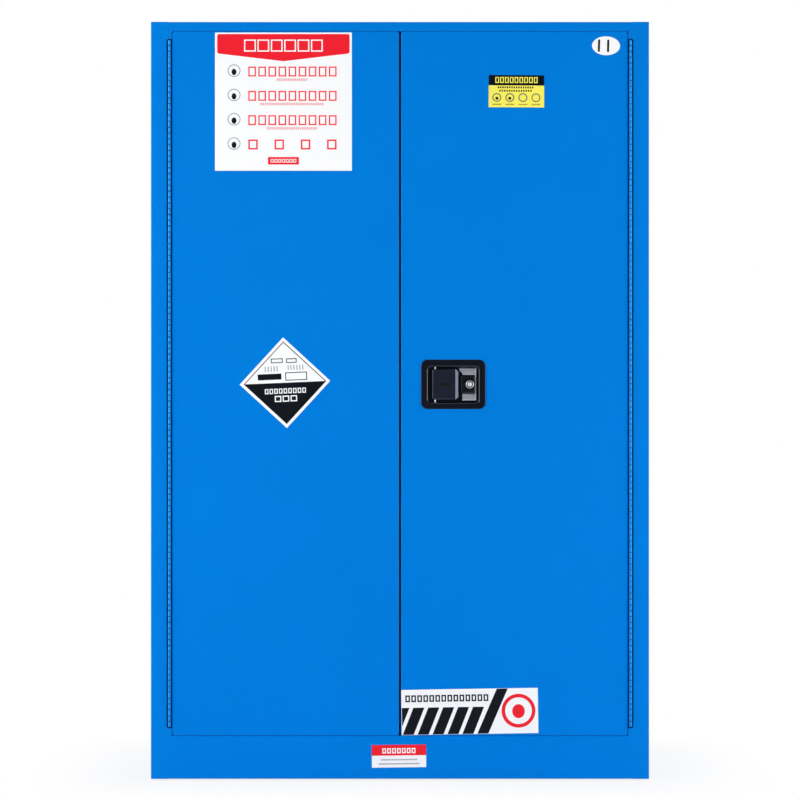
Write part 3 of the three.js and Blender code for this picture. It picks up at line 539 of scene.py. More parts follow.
def shader_node(
    tree: Tree, kind: str, inputs: dict[Any, Any] | None = None, **settings: Any
) -> Any:
    """Adds a shader node.

    Args:
        tree: The tree that it goes in.
        kind: Its type, without the word that every type starts with.
        inputs: What each of its inputs is fed with.
        **settings: Its properties.

    Returns:
        The node.
    """
    node = tree.nodes.new(f"ShaderNode{kind}")
    for name, value in settings.items():
        setattr(node, name, value)
    for place, value in (inputs or {}).items():
        feed(tree, value, node.inputs[place])
    return node


def node_group(
    name: str, inputs: dict[str, float], outputs: Sequence[str]
) -> tuple[Tree, Any, Any]:
    """An empty shader node group with a vector input and named float sockets.

    Args:
        name: The group's name.
        inputs: Each float input and its value at first.
        outputs: The float outputs.

    Returns:
        The group, its input node and its output node.
    """
    group = bpy.data.node_groups.new(name, "ShaderNodeTree")
    group.interface.new_socket("Vector", in_out="INPUT", socket_type="NodeSocketVector")
    for label, value in inputs.items():
        socket = group.interface.new_socket(label, in_out="INPUT", socket_type="NodeSocketFloat")
        socket.default_value = value
    for label in outputs:
        group.interface.new_socket(label, in_out="OUTPUT", socket_type="NodeSocketFloat")
    return group, group.nodes.new("NodeGroupInput"), group.nodes.new("NodeGroupOutput")


def math_node(tree: Tree, operation: str, first: Any, second: Any) -> Any:
    """A math node on two sockets or numbers, by its output."""
    return shader_node(tree, "Math", {0: first, 1: second}, operation=operation).outputs[0]


def noise_node(tree: Tree, vector: Any, scale: Any, detail: float) -> Any:
    """A noise texture read at a vector, by its value."""
    inputs = {"Detail": detail, "Vector": vector, "Scale": scale}
    return shader_node(tree, "TexNoise", inputs).outputs["Fac"]


def blend_node(tree: Tree, factor: Any, first: Any, second: Any) -> Any:
    """A mix of two shaders by a factor, by its output."""
    return shader_node(tree, "MixShader", {0: factor, 1: first, 2: second}).outputs[0]


def position(tree: Tree, kind: str) -> Any:
    """The sockets of X, Y and Z of a kind of texture coordinates."""
    place = shader_node(tree, "TexCoord").outputs[kind]
    return shader_node(tree, "SeparateXYZ", {0: place}).outputs


def ray(tree: Tree, kind: str) -> Any:
    """The socket that is 1 for the rays of a kind, else 0."""
    return shader_node(tree, "LightPath").outputs[f"Is {kind} Ray"]


def grain_group() -> None:
    """The grain of a surface: a fine height, a shade that drifts and a roughness round its own."""
    inputs = {"Size": 0.001, "Roughness": 0.4, "Spread": 0.1, "Drift": 0.05}
    group, given, made = node_group("surface_grain", inputs, ("Height", "Shade", "Roughness"))
    vector, drifts_per_metre = given.outputs["Vector"], 7.0
    scale = math_node(group, "DIVIDE", 1.0, given.outputs["Size"])
    link(group, noise_node(group, vector, scale, 2.0), made.inputs["Height"])
    broad = noise_node(group, vector, drifts_per_metre, 3.0)
    centred = math_node(group, "SUBTRACT", broad, 0.5)
    shade = math_node(group, "MULTIPLY", centred, given.outputs["Drift"])
    link(group, math_node(group, "ADD", shade, 1.0), made.inputs["Shade"])
    rough = math_node(group, "MULTIPLY", centred, given.outputs["Spread"])
    total = math_node(group, "ADD", rough, given.outputs["Roughness"])
    link(group, total, made.inputs["Roughness"])


def wear_group() -> None:
    """Where edges are rubbed, and on the powder coat a painted highlight along them: a mask along
    the edges, broken up by noise.
    """
    inputs = {"Amount": 0.3, "Breakup": 60.0}
    group, given, made = node_group("edge_wear", inputs, ("Mask",))
    edge_width, sharpness = 0.0012, 6.0
    round_normal = shader_node(group, "Bevel", {"Radius": edge_width}, samples=4).outputs[0]
    normals = {0: round_normal, 1: shader_node(group, "NewGeometry").outputs["Normal"]}
    facing = shader_node(group, "VectorMath", normals, operation="DOT_PRODUCT")
    turned_away = math_node(group, "SUBTRACT", 1.0, facing.outputs["Value"])
    sharpened = math_node(group, "MULTIPLY", turned_away, sharpness)
    patches = noise_node(group, given.outputs["Vector"], given.outputs["Breakup"], 3.0)
    broken = math_node(group, "MULTIPLY", sharpened, patches)
    mask = math_node(group, "MULTIPLY", broken, given.outputs["Amount"])
    held = math_node(group, "MINIMUM", mask, given.outputs["Amount"])
    link(group, held, made.inputs["Mask"])


def spangle_group() -> None:
    """The crystals of a galvanised sheet: a shade for each."""
    group, given, made = node_group("zinc_spangle", {"Size": 0.01, "Contrast": 0.2}, ("Shade",))
    scale = math_node(group, "DIVIDE", 1.0, given.outputs["Size"])
    cells = shader_node(group, "TexVoronoi", {"Vector": given.outputs["Vector"], "Scale": scale})
    parts = shader_node(group, "SeparateColor", {0: cells.outputs["Color"]}).outputs
    centred = math_node(group, "SUBTRACT", parts[0], 0.5)
    swing = math_node(group, "MULTIPLY", centred, given.outputs["Contrast"])
    link(group, math_node(group, "ADD", swing, 1.0), made.inputs["Shade"])


def linear(value: float) -> float:
    """A colour share from 0 to 255, as written in sRGB, as linear light."""
    share = value / 255
    return share / 12.92 if share <= 0.04045 else ((share + 0.055) / 1.055) ** 2.4


@dataclass(frozen=True)
class Finish:
    """A surface finish.

    Colours are in sRGB from 0 to 255. Sizes and depths of the grain are in metres.
    """

    name: str
    colour: Colour
    roughness: float
    slot: str | None = None
    metallic: float = 0.0
    specular: float = 0.5
    tint: Colour = (255, 255, 255)
    coat: float = 0.0
    coat_roughness: float = 0.15
    texture: Texture = Texture.EVEN
    grain_size: float = 0.001
    grain_depth: float = 0.00001
    roughness_spread: float = 0.12
    drift: float = 0.06
    spangle: float = 0.0
    wear: float = 0.0
    worn_colour: Colour = (190, 194, 198)

    def group(self, tree: Tree, name: str, vector: Any, **values: float) -> Any:
        """Places a shared node group in a material.

        Args:
            tree: The material's nodes.
            name: The group's name.
            vector: The coordinates that it reads.
            **values: Its inputs by name.

        Returns:
            The group's node.
        """
        inputs, group = {"Vector": vector, **values}, bpy.data.node_groups[name]
        return shader_node(tree, "Group", inputs, node_tree=group)

    def mix(self, tree: Tree, blend: str, factor: Any, first: Any, second: Any) -> Any:
        """Mixes two colours, each a socket or sRGB shares, by a socket or a number."""
        inputs, kind = {0: factor, 6: first, 7: second}, {"data_type": "RGBA", "blend_type": blend}
        return shader_node(tree, "Mix", inputs, **kind).outputs[2]

    def material(self) -> bpy.types.Material:
        """The finish as a material, made once.

        Returns:
            The material.
        """
        known = bpy.data.materials.get(self.name)
        if known:
            return known
        material = bpy.data.materials.new(self.name)
        material.use_nodes = True
        tree = material.node_tree
        place = shader_node(tree, "TexCoord").outputs["Object"]
        stretch = shader_node(tree, "Mapping", {"Vector": place})
        stretch.inputs["Scale"].default_value = self.texture.value
        vector = stretch.outputs["Vector"]
        sizes = {"Size": self.grain_size, "Roughness": self.roughness}
        spread = {"Spread": self.roughness_spread, "Drift": self.drift}
        grain = self.group(tree, "surface_grain", vector, **sizes, **spread)
        colour = self.mix(tree, "MULTIPLY", 1.0, self.colour, grain.outputs["Shade"])
        if self.spangle:
            sizes = {"Size": self.grain_size, "Contrast": self.spangle}
            crystals = self.group(tree, "zinc_spangle", vector, **sizes)
            colour = self.mix(tree, "MULTIPLY", 1.0, colour, crystals.outputs["Shade"])
        # Lightens the edges by a mask: real wear on most finishes, a painted highlight on the
        # powder coat.
        if self.wear:
            rubbed_and_lit = self.group(tree, "edge_wear", vector, Amount=self.wear)
            colour = self.mix(tree, "MIX", rubbed_and_lit.outputs["Mask"], colour, self.worn_colour)
        relief = {"Distance": self.grain_depth, "Height": grain.outputs["Height"]}
        inputs = {
            "Base Color": colour,
            "Metallic": self.metallic,
            "Roughness": grain.outputs["Roughness"],
            "Normal": shader_node(tree, "Bump", relief).outputs["Normal"],
            "Specular IOR Level": self.specular,
            "Specular Tint": self.tint,
            "Coat Weight": self.coat,
            "Coat Roughness": self.coat_roughness,
        }
        for label, value in inputs.items():
            feed(tree, value, tree.nodes["Principled BSDF"].inputs[label])
        return material


# Its lighter blue along the edges is a painted highlight, not wear.
POWDER_COAT = Finish(
    "blue_powder_coat", (1, 123, 218), 0.44, "blue_paint", specular=0.4, tint=(40, 180, 255),
    grain_size=0.0012, drift=0.05, wear=0.5, worn_colour=(80, 180, 250),
)
# The powder coat's own blue, painted lighter on the knuckles as a highlight.
LIT_KNUCKLE_COAT = Finish(
    "blue_knuckle_coat", (1, 140, 232), 0.27, "blue_paint", specular=0.9, tint=(110, 230, 255),
    grain_size=0.0012, grain_depth=0.000008, drift=0.05,
)
BLACK_ENAMEL = Finish(
    "satin_black_enamel", (10, 14, 22), 0.2, "black_enamel", specular=0.8, tint=(205, 215, 255),
    coat=0.3, grain_size=0.0006, grain_depth=0.000012, drift=0.2, wear=0.2,
    worn_colour=(84, 88, 96),
)
TEXTURED_ENAMEL = Finish(
    "textured_black_enamel", (20, 27, 40), 0.24, "black_enamel", specular=0.8,
    tint=(205, 215, 255), coat=0.3, grain_size=0.0009, grain_depth=0.00002, drift=0.2, wear=0.2,
    worn_colour=(96, 100, 108),
)
DEAD_BLACK = Finish(
    "dead_black", (5, 7, 11), 0.6, "black_enamel", specular=0.2, grain_size=0.0006
)
BRIGHT_STEEL = Finish(
    "bright_steel", (196, 198, 203), 0.26, "bright_steel", 1.0, grain_size=0.0004,
    grain_depth=0.000004, drift=0.1,
)
# Steel painted dark, so that the pin seen between the knuckles gives painted shade in the gaps.
SHADE_DARK_STEEL = Finish(
    "dark_steel", (38, 42, 50), 0.4, "bright_steel", 1.0, grain_size=0.0006,
    grain_depth=0.000006, drift=0.1,
)
BRUSHED_STEEL = Finish(
    "brushed_steel", (206, 212, 228), 0.34, "bright_steel", 0.4, texture=Texture.BRUSHED_ACROSS,
    grain_size=0.0009, grain_depth=0.00003, drift=0.3,
)
# Steel painted near white: a painted highlight on edges and faces that catch the light.
HIGHLIGHT_WHITE_STEEL = Finish(
    "bright_edge", (246, 247, 251), 0.3, "bright_steel", 0.15, grain_size=0.0008,
    grain_depth=0.000008, drift=0.15,
)
GALVANISED = Finish(
    "galvanised_sheet", (176, 180, 184), 0.42, "galvanised", 0.85, grain_size=0.009,
    spangle=0.22, drift=0.1,
)
ZINC_PLATE = Finish(
    "zinc_plate", (182, 186, 192), 0.36, "galvanised", 0.95, grain_size=0.0015,
    grain_depth=0.000006, drift=0.14, wear=0.3, worn_colour=(222, 224, 228),
)
RUBBER = Finish(
    "black_rubber", (13, 13, 15), 0.72, "rubber", specular=0.15, grain_size=0.0008,
    grain_depth=0.00003, drift=0.25,
)
BRASS = Finish(
    "turned_brass", (200, 166, 92), 0.3, "brass", 1.0, grain_size=0.0008,
    grain_depth=0.000006, drift=0.16,
)
NYLON = Finish("moulded_nylon", (222, 221, 216), 0.5, "nylon", specular=0.4, grain_size=0.0012)


def vinyl(name: str, colour: Colour) -> Finish:
    """A printed film in one colour."""
    grain = {"grain_size": 0.002, "grain_depth": 0.000006, "drift": 0.02}
    return Finish(f"vinyl_{name}", colour, 0.4, specular=0.2, **grain)


WHITE_FILM = vinyl("white", (250, 251, 252))
SOFT_WHITE_FILM = vinyl("soft_white", (247, 248, 249))
RED_FILM = vinyl("red", (242, 28, 46))
PALE_RED_FILM = vinyl("pale_red", (240, 168, 172))
YELLOW_FILM = vinyl("yellow", (250, 241, 96))
OCHRE_FILM = vinyl("ochre", (176, 162, 60))
BLACK_FILM = vinyl("black", (1, 7, 19))
GREY_FILM = vinyl("grey", (150, 150, 158))
SLATE_FILM = vinyl("slate", (86, 88, 104))


def painted(finish: Finish, *parts: Object) -> tuple[Object, ...]:
    """Parts with the material of a finish added to each.

    Args:
        finish: The finish.
        *parts: The parts.

    Returns:
        The parts.
    """
    for part in parts:
        part.data.materials.append(finish.material())
    return parts


def dress(
    piece: Object,
    finish: Finish | None,
    *nodes: str,
    body: str | None = None,
    smooth: float = 40,
) -> Object:
    """Gives a piece its finish and shading, and sets it on its body.

    Args:
        piece: The piece, in place.
        finish: Its finish, or None where its parts have theirs already.
        *nodes: The CAD nodes that it stands for.
        body: The body that it rides on, where it stands for no node.
        smooth: The angle in degrees below which an edge is shaded smooth.

    Returns:
        The piece.
    """
    choose(piece)
    bpy.ops.object.shade_smooth_by_angle(angle=math.radians(smooth))
    modify(piece, "WEIGHTED_NORMAL", keep_sharp=True)
    if finish:
        piece.data.materials.clear()
        painted(finish, piece)
    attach(piece, body or bpy.data.objects[nodes[0]]["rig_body"])
    if nodes:
        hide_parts(*nodes)
    return piece


# The cabinet


@dataclass
class SheetMetal:
    """The folded sheets, whose CAD forms are kept with eased edges and a finish."""

    edge: float = 0.00035
    fold_angle: float = 0.5
    stile: float = 0.037
    weld: float = 0.0025
    ear_gap: float = 0.001
    ear_growth: float = 0.0026
    notch_half: float = 0.0061
    notch_depth: float = 0.012
    notch_end: float = 0.0006
    notch_corner: float = 0.0025
    sheets: dict[Finish, tuple[str, ...]] = field(
        default_factory=lambda: {
            POWDER_COAT: (
                *pair("outer_side"),
                "outer_back",
                "outer_top",
                "outer_bottom",
                "header_rail",
                "base_rail",
                *pair("inner_side"),
                "inner_back_and_top",
                "sump_pan",
                "door_stop_frame",
                *pair("door_liner"),
                "lock_cover",
            ),
            ZINC_PLATE: (
                *pair("shelf_bracket_lower"),
                *pair("shelf_bracket_upper"),
                "latch_case",
                "release_slide",
                "lock_rod_top",
                "lock_rod_bottom",
                "meeting_bolt",
            ),
            GALVANISED: ("shelf_lower", "shelf_upper"),
            NYLON: ("rod_guide_top", "rod_guide_bottom"),
        }
    )

    def build(self) -> list[Object]:
        """The sheets, dressed."""
        rows = self.sheets.items()
        return [dress(self.sheet(node), finish, node) for finish, nodes in rows for node in nodes]

    def sheet(self, node: str) -> Object:
        """A sheet with its edges eased, but for those welded flush where stiles and rails meet.

        Args:
            node: The sheet's CAD node.

        Returns:
            The sheet.
        """
        if not node.startswith("outer_side") and not node.endswith("_rail"):
            return refined(node, self.edge)
        sheet, stile = refined(node, 0), Box.of("outer_side_right").high.x - self.stile
        inner, reach = stile - self.edge, stile + self.weld
        outer = reach + self.edge
        if node.endswith("_rail"):
            end, ear = Box.of(node).high.x, Box.of("door_skin_right").high.x + self.ear_gap
            for side in Side:
                for place, move in ((end, reach - end), (ear, -self.ear_growth)):
                    way = (side.value * move, 0, 0)
                    shifted(sheet, at(Axis.X, side.value * place), way)

        def free(edge: Any) -> bool:
            """Whether an edge is folded and not welded flush."""
            welded = all(inner < abs(v.co.x) < outer for v in edge.verts)
            return edge.calc_face_angle(0) > self.fold_angle and not welded

        bevel(sheet, free, self.edge, 2)
        for side in Side:
            if node == f"outer_side_{side.word}":
                carve(sheet, self.notch(side))
        return sheet

    def notch(self, side: Side) -> Object:
        """A cutter for the round-ended notch in the stile beside a hinge's barrel.

        Args:
            side: The side of the hinge.

        Returns:
            The cutter.
        """
        barrel = Box.of(f"hinge_frame_leaf_{side.word}")
        x, y, end = Box.of(f"hinge_pin_{side.word}").centre.x, barrel.low.y, self.notch_end
        low = Vector((x - self.notch_half, y, barrel.low.z - end))
        high = Vector((x + self.notch_half, y + self.notch_depth, barrel.high.z + end))
        return rounded_block("notch", low, high, Axis.Y, self.notch_corner)


@dataclass
class Door:
    """A door's outer skin: a deep pan with round corners and lips turned in at the back."""

    side: Side
    corner: float = 0.006
    bend: float = 0.0032
    bend_steps: int = 5
    level_share: float = 0.2
    sheet: float = 0.0012
    lip: float = 0.014
    growth: float = 0.0017
    joggle: float = 0.0022
    joggle_depth: float = 0.009
    tray_play: float = 0.0018
    tray_cut: float = 0.02
    tray_corner: float = 0.0095
    bolt_play: float = 0.0008
    slot_corner: float = 0.0015
    guide_hole: float = 0.0061
    guide_cut: float = 0.012
    strike_sheet: float = 0.0026
    strike_depth: float = 0.0146
    strike_gap: float = 0.0006
    strike_half: float = 0.03

    @property
    def node(self) -> str:
        """The CAD node of the skin."""
        return f"door_skin_{self.side.word}"

    def shell(self, name: str, inset: float) -> Object:
        """A block with the door's round corners and front edges, smaller by an inset all round.

        Its front is set in from the hinge by the joggle, and its level edges are rounded less.

        Args:
            name: Its name.
            inset: How much smaller it is.

        Returns:
            The block.
        """
        box, reach, corner = Box.of(self.node), self.bend - inset, self.corner - inset
        step = Vector((inset, inset, inset - self.growth))
        low, high = box.low + step, box.high - step
        left = self.side is Side.LEFT
        set_in = Vector((self.joggle, 0, 0))
        front = cuboid(name, low + set_in if left else low, high if left else high - set_in)
        bevel(front, along(Axis.Y), corner, CORNER_STEPS)
        bevel(front, at(Axis.Y, low.y), reach, self.bend_steps)
        behind = low + Vector((0, self.joggle_depth, 0))
        whole = united(front, rounded_block("back", behind, high, Axis.Y, corner))
        ends = ((low.z, low.z, low.z + reach), (high.z - reach, high.z, high.z))
        for start, place, end in ends:
            with editing(whole):
                pick(whole, Element.VERT, between(Axis.Z, start, end))
                centre, value = (0, 0, place), (1, 1, self.level_share)
                bpy.ops.transform.resize(value=value, center_override=centre)
        return whole

    def pan(self) -> Object:
        """The skin before anything is cut in it.

        Returns:
            The skin, not yet cut.
        """
        box, lip = Box.of(self.node), Vector((self.lip, 0, self.lip))
        low = Vector((box.low.x, box.centre.y, box.low.z)) + lip
        opening = cuboid("opening", low, box.high + Vector((0, self.lip, 0)) - lip)
        outside, room = self.shell(f"{self.node}_finished", 0), self.shell("room", self.sheet)
        return carve(outside, room, opening)

    def cutters(self) -> list[Object]:
        """What is cut out of a skin: the bolt's slot, and on the right the tray and the guides.

        Returns:
            The cutters.
        """
        bolt, inner = Box.of("meeting_bolt"), Box.of("door_skin_right").low.x
        play = Vector((self.lip, self.bolt_play, self.bolt_play))
        low = Vector((-inner, bolt.low.y, bolt.low.z)) - play
        high = Vector((inner, bolt.high.y, bolt.high.z)) + play
        made = [rounded_block("bolt_slot", low, high, Axis.X, self.slot_corner)]
        if self.side is Side.RIGHT:
            tray, face = Box.of("handle_tray").centre, Box.of(self.node).low.y
            half = Vector((RecessedHandle.recess_width, 0, RecessedHandle.recess_height)) / 2
            half += Vector((self.tray_play, self.tray_cut, self.tray_play))
            middle = Vector((tray.x, face, tray.z))
            ends = middle - half, middle + half
            made.append(rounded_block("tray_hole", *ends, Axis.Y, self.tray_corner))
            for guide in ("rod_guide_top", "rod_guide_bottom"):
                made.append(bore(Box.of(guide).centre, Axis.Z, self.guide_hole, self.guide_cut))
        return made

    def strike(self) -> Object:
        """The doubling plate inside the left door's meeting edge.

        Returns:
            The plate.
        """
        box, z = Box.of(self.node), Box.of("meeting_bolt").centre.z
        face, back = box.high.x - self.sheet / 2, box.high.y
        low = (face - self.strike_sheet, back - self.strike_depth, z - self.strike_half)
        return cuboid("strike", low, (face, back - self.strike_gap, z + self.strike_half))

    def build(self) -> list[Object]:
        """The skin alone, dressed.

        Returns:
            The skin, in a list.
        """
        skin = self.pan()
        if self.side is Side.LEFT:
            skin = united(skin, self.strike())
        return [dress(carve(skin, *self.cutters()), POWDER_COAT, self.node)]


@dataclass
class ContinuousHinge:
    """A full-height hinge: rolled knuckles on two leaves, and the pin through them."""

    side: Side
    pitch: float = 0.0127
    gap: float = 0.002
    slack: float = 0.0008
    thickness: float = 0.0013
    clearance: float = 0.0004
    chamfer: float = 0.0007
    sides: int = 14
    plate_edge: float = 0.0002
    screw_pitch: float = 0.15
    screw_radius: float = 0.0032
    screw_height: float = 0.0007
    pin_head: float = 0.003
    pin_shaft: float = 0.0015
    pin_dome: float = 0.001

    @property
    def axis(self) -> Vector:
        """A point on the line that the door turns about, at the lower end of the hinge."""
        centre = Box.of(f"hinge_pin_{self.side.word}").centre
        return Vector((centre.x, centre.y, Box.of(f"hinge_frame_leaf_{self.side.word}").low.z))

    def leaf(self, stem: str, outward: int, first: int) -> Object:
        """A leaf with every second knuckle.

        Args:
            stem: The CAD node that it stands for, without its side.
            outward: 1 where the leaf lies on the stile's side of the barrel, else -1.
            first: The place of its lowest knuckle, 0 or 1.

        Returns:
            The leaf, dressed.
        """
        node = f"{stem}_{self.side.word}"
        box, axis, cut = Box.of(node), self.axis, self.chamfer
        radius = axis.y - box.low.y - self.slack
        count = round(box.size.z / self.pitch)
        pitch = box.size.z / count
        length = pitch - self.gap
        low = axis + Vector((0, 0, first * pitch + self.gap / 2))
        profile = double_ended(((radius - cut, 0), (radius, cut)), length)
        knuckle = turned("knuckle", low, UP, profile, self.sides)
        way = self.side.value * outward
        outer = axis.x + way * radius
        inner = outer - way * self.thickness
        start = axis.y + radius + self.clearance
        far = (inner, start + self.thickness, low.z + length - cut)
        tab = cuboid("tab", (outer, axis.y, low.z + cut), far)
        own = (count - first + 1) // 2
        comb = repeated(gathered("comb", knuckle, tab), own, (0, 0, 2 * pitch))
        corner = (outer + way * self.slack, start, box.low.z)
        plate = cuboid("plate", corner, (inner, box.high.y, box.high.z))
        ease(plate, self.plate_edge)
        place = (inner, (start + box.high.y) / 2, box.low.z + self.screw_pitch / 2)
        head = ((self.screw_radius, 0), (self.screw_radius * 0.7, self.screw_height))
        screw = turned("screw", place, (-way, 0, 0), head, 16)
        screws = repeated(screw, int(box.size.z / self.screw_pitch), (0, 0, self.screw_pitch))
        # The knuckles' lighter blue is a painted highlight.
        return dress(gathered(f"{node}_finished", comb, plate, screws), LIT_KNUCKLE_COAT, node)

    def pin(self) -> Object:
        """The pin, with a domed head at each end.

        Returns:
            The pin, dressed.
        """
        node = f"hinge_pin_{self.side.word}"
        box, axis, head, dome = Box.of(node), self.axis, self.pin_head, self.pin_dome
        end = (
            (head * 0.6, 0),
            (head * 0.93, dome * 0.25),
            (head, dome * 0.6),
            (head, dome * 0.7),
            (self.pin_shaft, dome * 0.7),
        )
        low, profile = (axis.x, axis.y, box.low.z), double_ended(end, box.size.z)
        # The pin is painted dark as shade in the gaps between the knuckles.
        return dress(turned(f"{node}_finished", low, UP, profile, 24), SHADE_DARK_STEEL, node)

    def build(self) -> list[Object]:
        """Both leaves and the pin, dressed."""
        frame, door = self.leaf("hinge_frame_leaf", 1, 0), self.leaf("hinge_door_leaf", -1, 1)
        return [frame, door, self.pin()]


@dataclass
class RecessedHandle:
    """The black tray in the right door, its paddle and pin, and the bright finger plate."""

    recess_width: float = 0.1108
    recess_height: float = 0.0788
    recess_drop: float = 0.0013
    recess_corner: float = 0.008
    wall: float = 0.0015
    flange: float = 0.002
    flange_corner: float = 0.014
    flange_edge: float = 0.0014
    mouth_edge: float = 0.0032
    boss_radius: float = 0.004
    boss_height: float = 0.0022
    paddle_depth: float = 0.009
    shell: float = 0.0026
    end_inset: float = 0.0018
    end_corner: float = 0.005
    lip_width: float = 0.0111
    lip_slope: float = 0.0052
    lip_edge: float = 0.0022
    groove: float = 0.0027
    groove_depth: float = 0.0018
    groove_edge: float = 0.0012
    web_inset: float = 0.0006
    chamfer_width: float = 0.0075
    chamfer_drop: float = 0.00845
    wedge_reach: float = 0.002
    wedge_height: float = 0.02
    paddle_ease: float = 0.0004
    lug_radius: float = 0.0046
    lug_length: float = 0.01
    pin_bore: float = 0.0024
    tail_offset: float = 0.003
    tail_thickness: float = 0.003
    tail_height: float = 0.012
    tail_drop: float = 0.008
    tail_play: float = 0.0016
    tail_sweep: float = 0.0187
    dent_width: float = 0.026
    dent_height: float = 0.0076
    dent_depth: float = 0.0012
    dent_film: float = 0.0003
    dent_cut: float = 0.003
    dent_shift: float = 0.0006
    plate_sheet: float = 0.0014
    plate_bend: float = 0.0018
    arm_half: float = 0.0209
    arm_reach: float = 0.0286
    arm_slope: float = 0.0076
    arm_overlap: float = 0.004
    bead: float = 0.0019
    bead_depth: float = 0.0045
    rivet_radius: float = 0.0016
    rivet_shift: float = 0.0002
    rivet_rise: float = 0.002

    def block_about(
        self, name: str, middle: Vector, size: Numbers, depths: Numbers, corner: float
    ) -> Object:
        """A block with round corners.

        Args:
            name: The block's name.
            middle: Its middle across and up.
            size: Its width and height.
            depths: Where its front and its back lie.
            corner: The radius of its corners.

        Returns:
            The block.
        """
        (width, height), (front, back) = size, depths
        low = (middle.x - width / 2, front, middle.z - height / 2)
        high = (middle.x + width / 2, back, middle.z + height / 2)
        return rounded_block(name, low, high, Axis.Y, corner)

    def tail_slot(self, front: float, back: float) -> Object:
        """A cutter for the paddle's tail, from one depth to another.

        Args:
            front: Where it starts.
            back: Where it ends.

        Returns:
            The cutter.
        """
        x, z = Box.of("paddle_pin").centre.x, Box.of("handle_tray").centre.z - self.tail_drop
        half = (self.tail_height + self.tail_play) / 2
        low = (x + self.tail_offset - self.tail_play, front, z - half)
        return cuboid("slot", low, (x + self.tail_sweep, back, z + half))

    def tray(self) -> Object:
        """The tray: a flange on the door's face round a deep recess.

        Returns:
            The tray, dressed.
        """
        box, wall, radius = Box.of("handle_tray"), self.wall, self.recess_corner
        middle, face, back = box.centre - Vector((0, 0, self.recess_drop)), box.low.y, box.high.y
        floor, size = back - wall, (self.recess_width, self.recess_height)
        grown = (self.recess_width + 2 * wall, self.recess_height + 2 * wall)
        name, rim, flange = "handle_tray_finished", (box.size.x, box.size.z), self.flange
        tray = self.block_about(name, box.centre, rim, (face, face + flange), self.flange_corner)
        bowl = self.block_about("bowl", middle, grown, (face + flange / 2, back), radius + wall)
        pocket = self.block_about("pocket", middle, size, (face - flange, floor), radius)
        carve(united(tray, bowl), pocket)
        bevel(tray, at(Axis.Y, floor), self.mouth_edge / 2, 3)
        half = Vector((self.recess_width, 0, self.recess_height)) / 2
        mouth = both(
            at(Axis.Y, face),
            between(Axis.X, middle.x - half.x, middle.x + half.x),
            between(Axis.Z, middle.z - half.z, middle.z + half.z),
        )
        bevel(tray, mouth, self.mouth_edge, 6)
        bevel(tray, both(at(Axis.Y, face), lambda e: not mouth(e)), self.flange_edge, 3)
        lock, pin = Box.of("lock_cylinder").centre, Box.of("paddle_pin").centre
        ends = floor - wall, back + wall
        starts = ((lock.x, end, lock.z) for end in ends)
        hole = cylinder("barrel", *starts, KeyLock.housing_bore)
        carve(tray, hole, self.tail_slot(*ends))
        foot = middle.z - self.recess_height / 2
        top = foot + self.boss_height
        start, end = (pin.x, pin.y, foot - wall / 2), (pin.x, pin.y, top)
        boss = cylinder("boss", start, end, self.boss_radius, 24)
        bevel(boss, at(Axis.Z, top), wall / 3, 2)
        return dress(united(tray, boss), BLACK_ENAMEL, "handle_tray")

    def paddle_face(self, box: Box) -> Object:
        """The paddle's solid face: a plate with a groove and a sloping lip beside it.

        Args:
            box: The CAD paddle's box.

        Returns:
            The face.
        """
        face, back = box.low.y, box.low.y + self.paddle_depth
        seam, end = box.high.x - self.lip_width, box.low.x + self.end_inset
        crease, outer, bottom, top = seam + self.groove, box.high.x, box.low.z, box.high.z
        plate = cuboid("paddle_finished", (end, face, bottom), (seam, back, top))
        bevel(plate, both(along(Axis.Y), at(Axis.X, end)), self.end_corner, CORNER_STEPS)
        bevel(plate, both(at(Axis.Y, face), lambda e: not at(Axis.X, seam)(e)), self.shell, 5)
        lip, slope = cuboid("lip", (crease, face, bottom), (outer, back, top)), self.lip_slope
        shifted(lip, both(at(Axis.Y, face), at(Axis.X, outer)), (0, slope, 0))
        rims = ((crease, face, self.groove_edge, 4), (outer, face + slope, self.lip_edge, 6))
        for x, y, width, steps in rims:
            bevel(lip, both(along(Axis.Z), at(Axis.X, x), at(Axis.Y, y)), width, steps)
        low = (seam - self.shell, face + self.groove_depth, bottom + self.web_inset)
        web = cuboid("web", low, (crease + self.shell, back, top - self.web_inset))
        return united(plate, web, lip)

    def paddle(self) -> Object:
        """The paddle: a hollow plate with lugs on its pin and a tail behind.

        Returns:
            The paddle, dressed.
        """
        box, pin, shell = Box.of("paddle"), Box.of("paddle_pin").centre, self.shell
        face, middle, reach = box.low.y, box.centre, box.size.z / 2
        paddle = self.paddle_face(box)
        low = (box.low.x + self.end_inset + shell, face + shell + self.lip_slope, box.low.z + shell)
        high = (box.high.x - shell, face + self.paddle_depth + shell, box.high.z - shell)
        carve(paddle, cuboid("hollow", low, high), *self.corner_cutters(box))
        lugs = []
        for up in (-1, 1):
            start, end = (middle.z + up * (reach - cut) for cut in (shell / 2, self.lug_length))
            ends = (pin.x, pin.y, start), (pin.x, pin.y, end)
            lugs.append(cylinder("lug", *ends, self.lug_radius, 24))
        z, half = Box.of("handle_tray").centre.z - self.tail_drop, self.tail_height / 2
        low = (pin.x + self.tail_offset, face + shell, z - half)
        high = (pin.x + self.tail_offset + self.tail_thickness, box.high.y, z + half)
        united(paddle, *lugs, cuboid("tail", low, high))
        hole = bore((pin.x, pin.y, middle.z), Axis.Z, self.pin_bore, reach + CLEAR, 24)
        place = Vector((middle.x - self.dent_shift, face, middle.z))
        carve(paddle, hole, self.oval("dent", place, -self.dent_cut, self.dent_depth))
        ease(paddle, self.paddle_ease, 50)
        ends = self.dent_depth - self.dent_film, self.dent_depth + self.dent_film
        parts = painted(DEAD_BLACK, self.oval("floor", place, *ends))
        parts += painted(TEXTURED_ENAMEL, paddle)
        return dress(gathered("paddle_finished", *parts), None, "paddle", smooth=35)

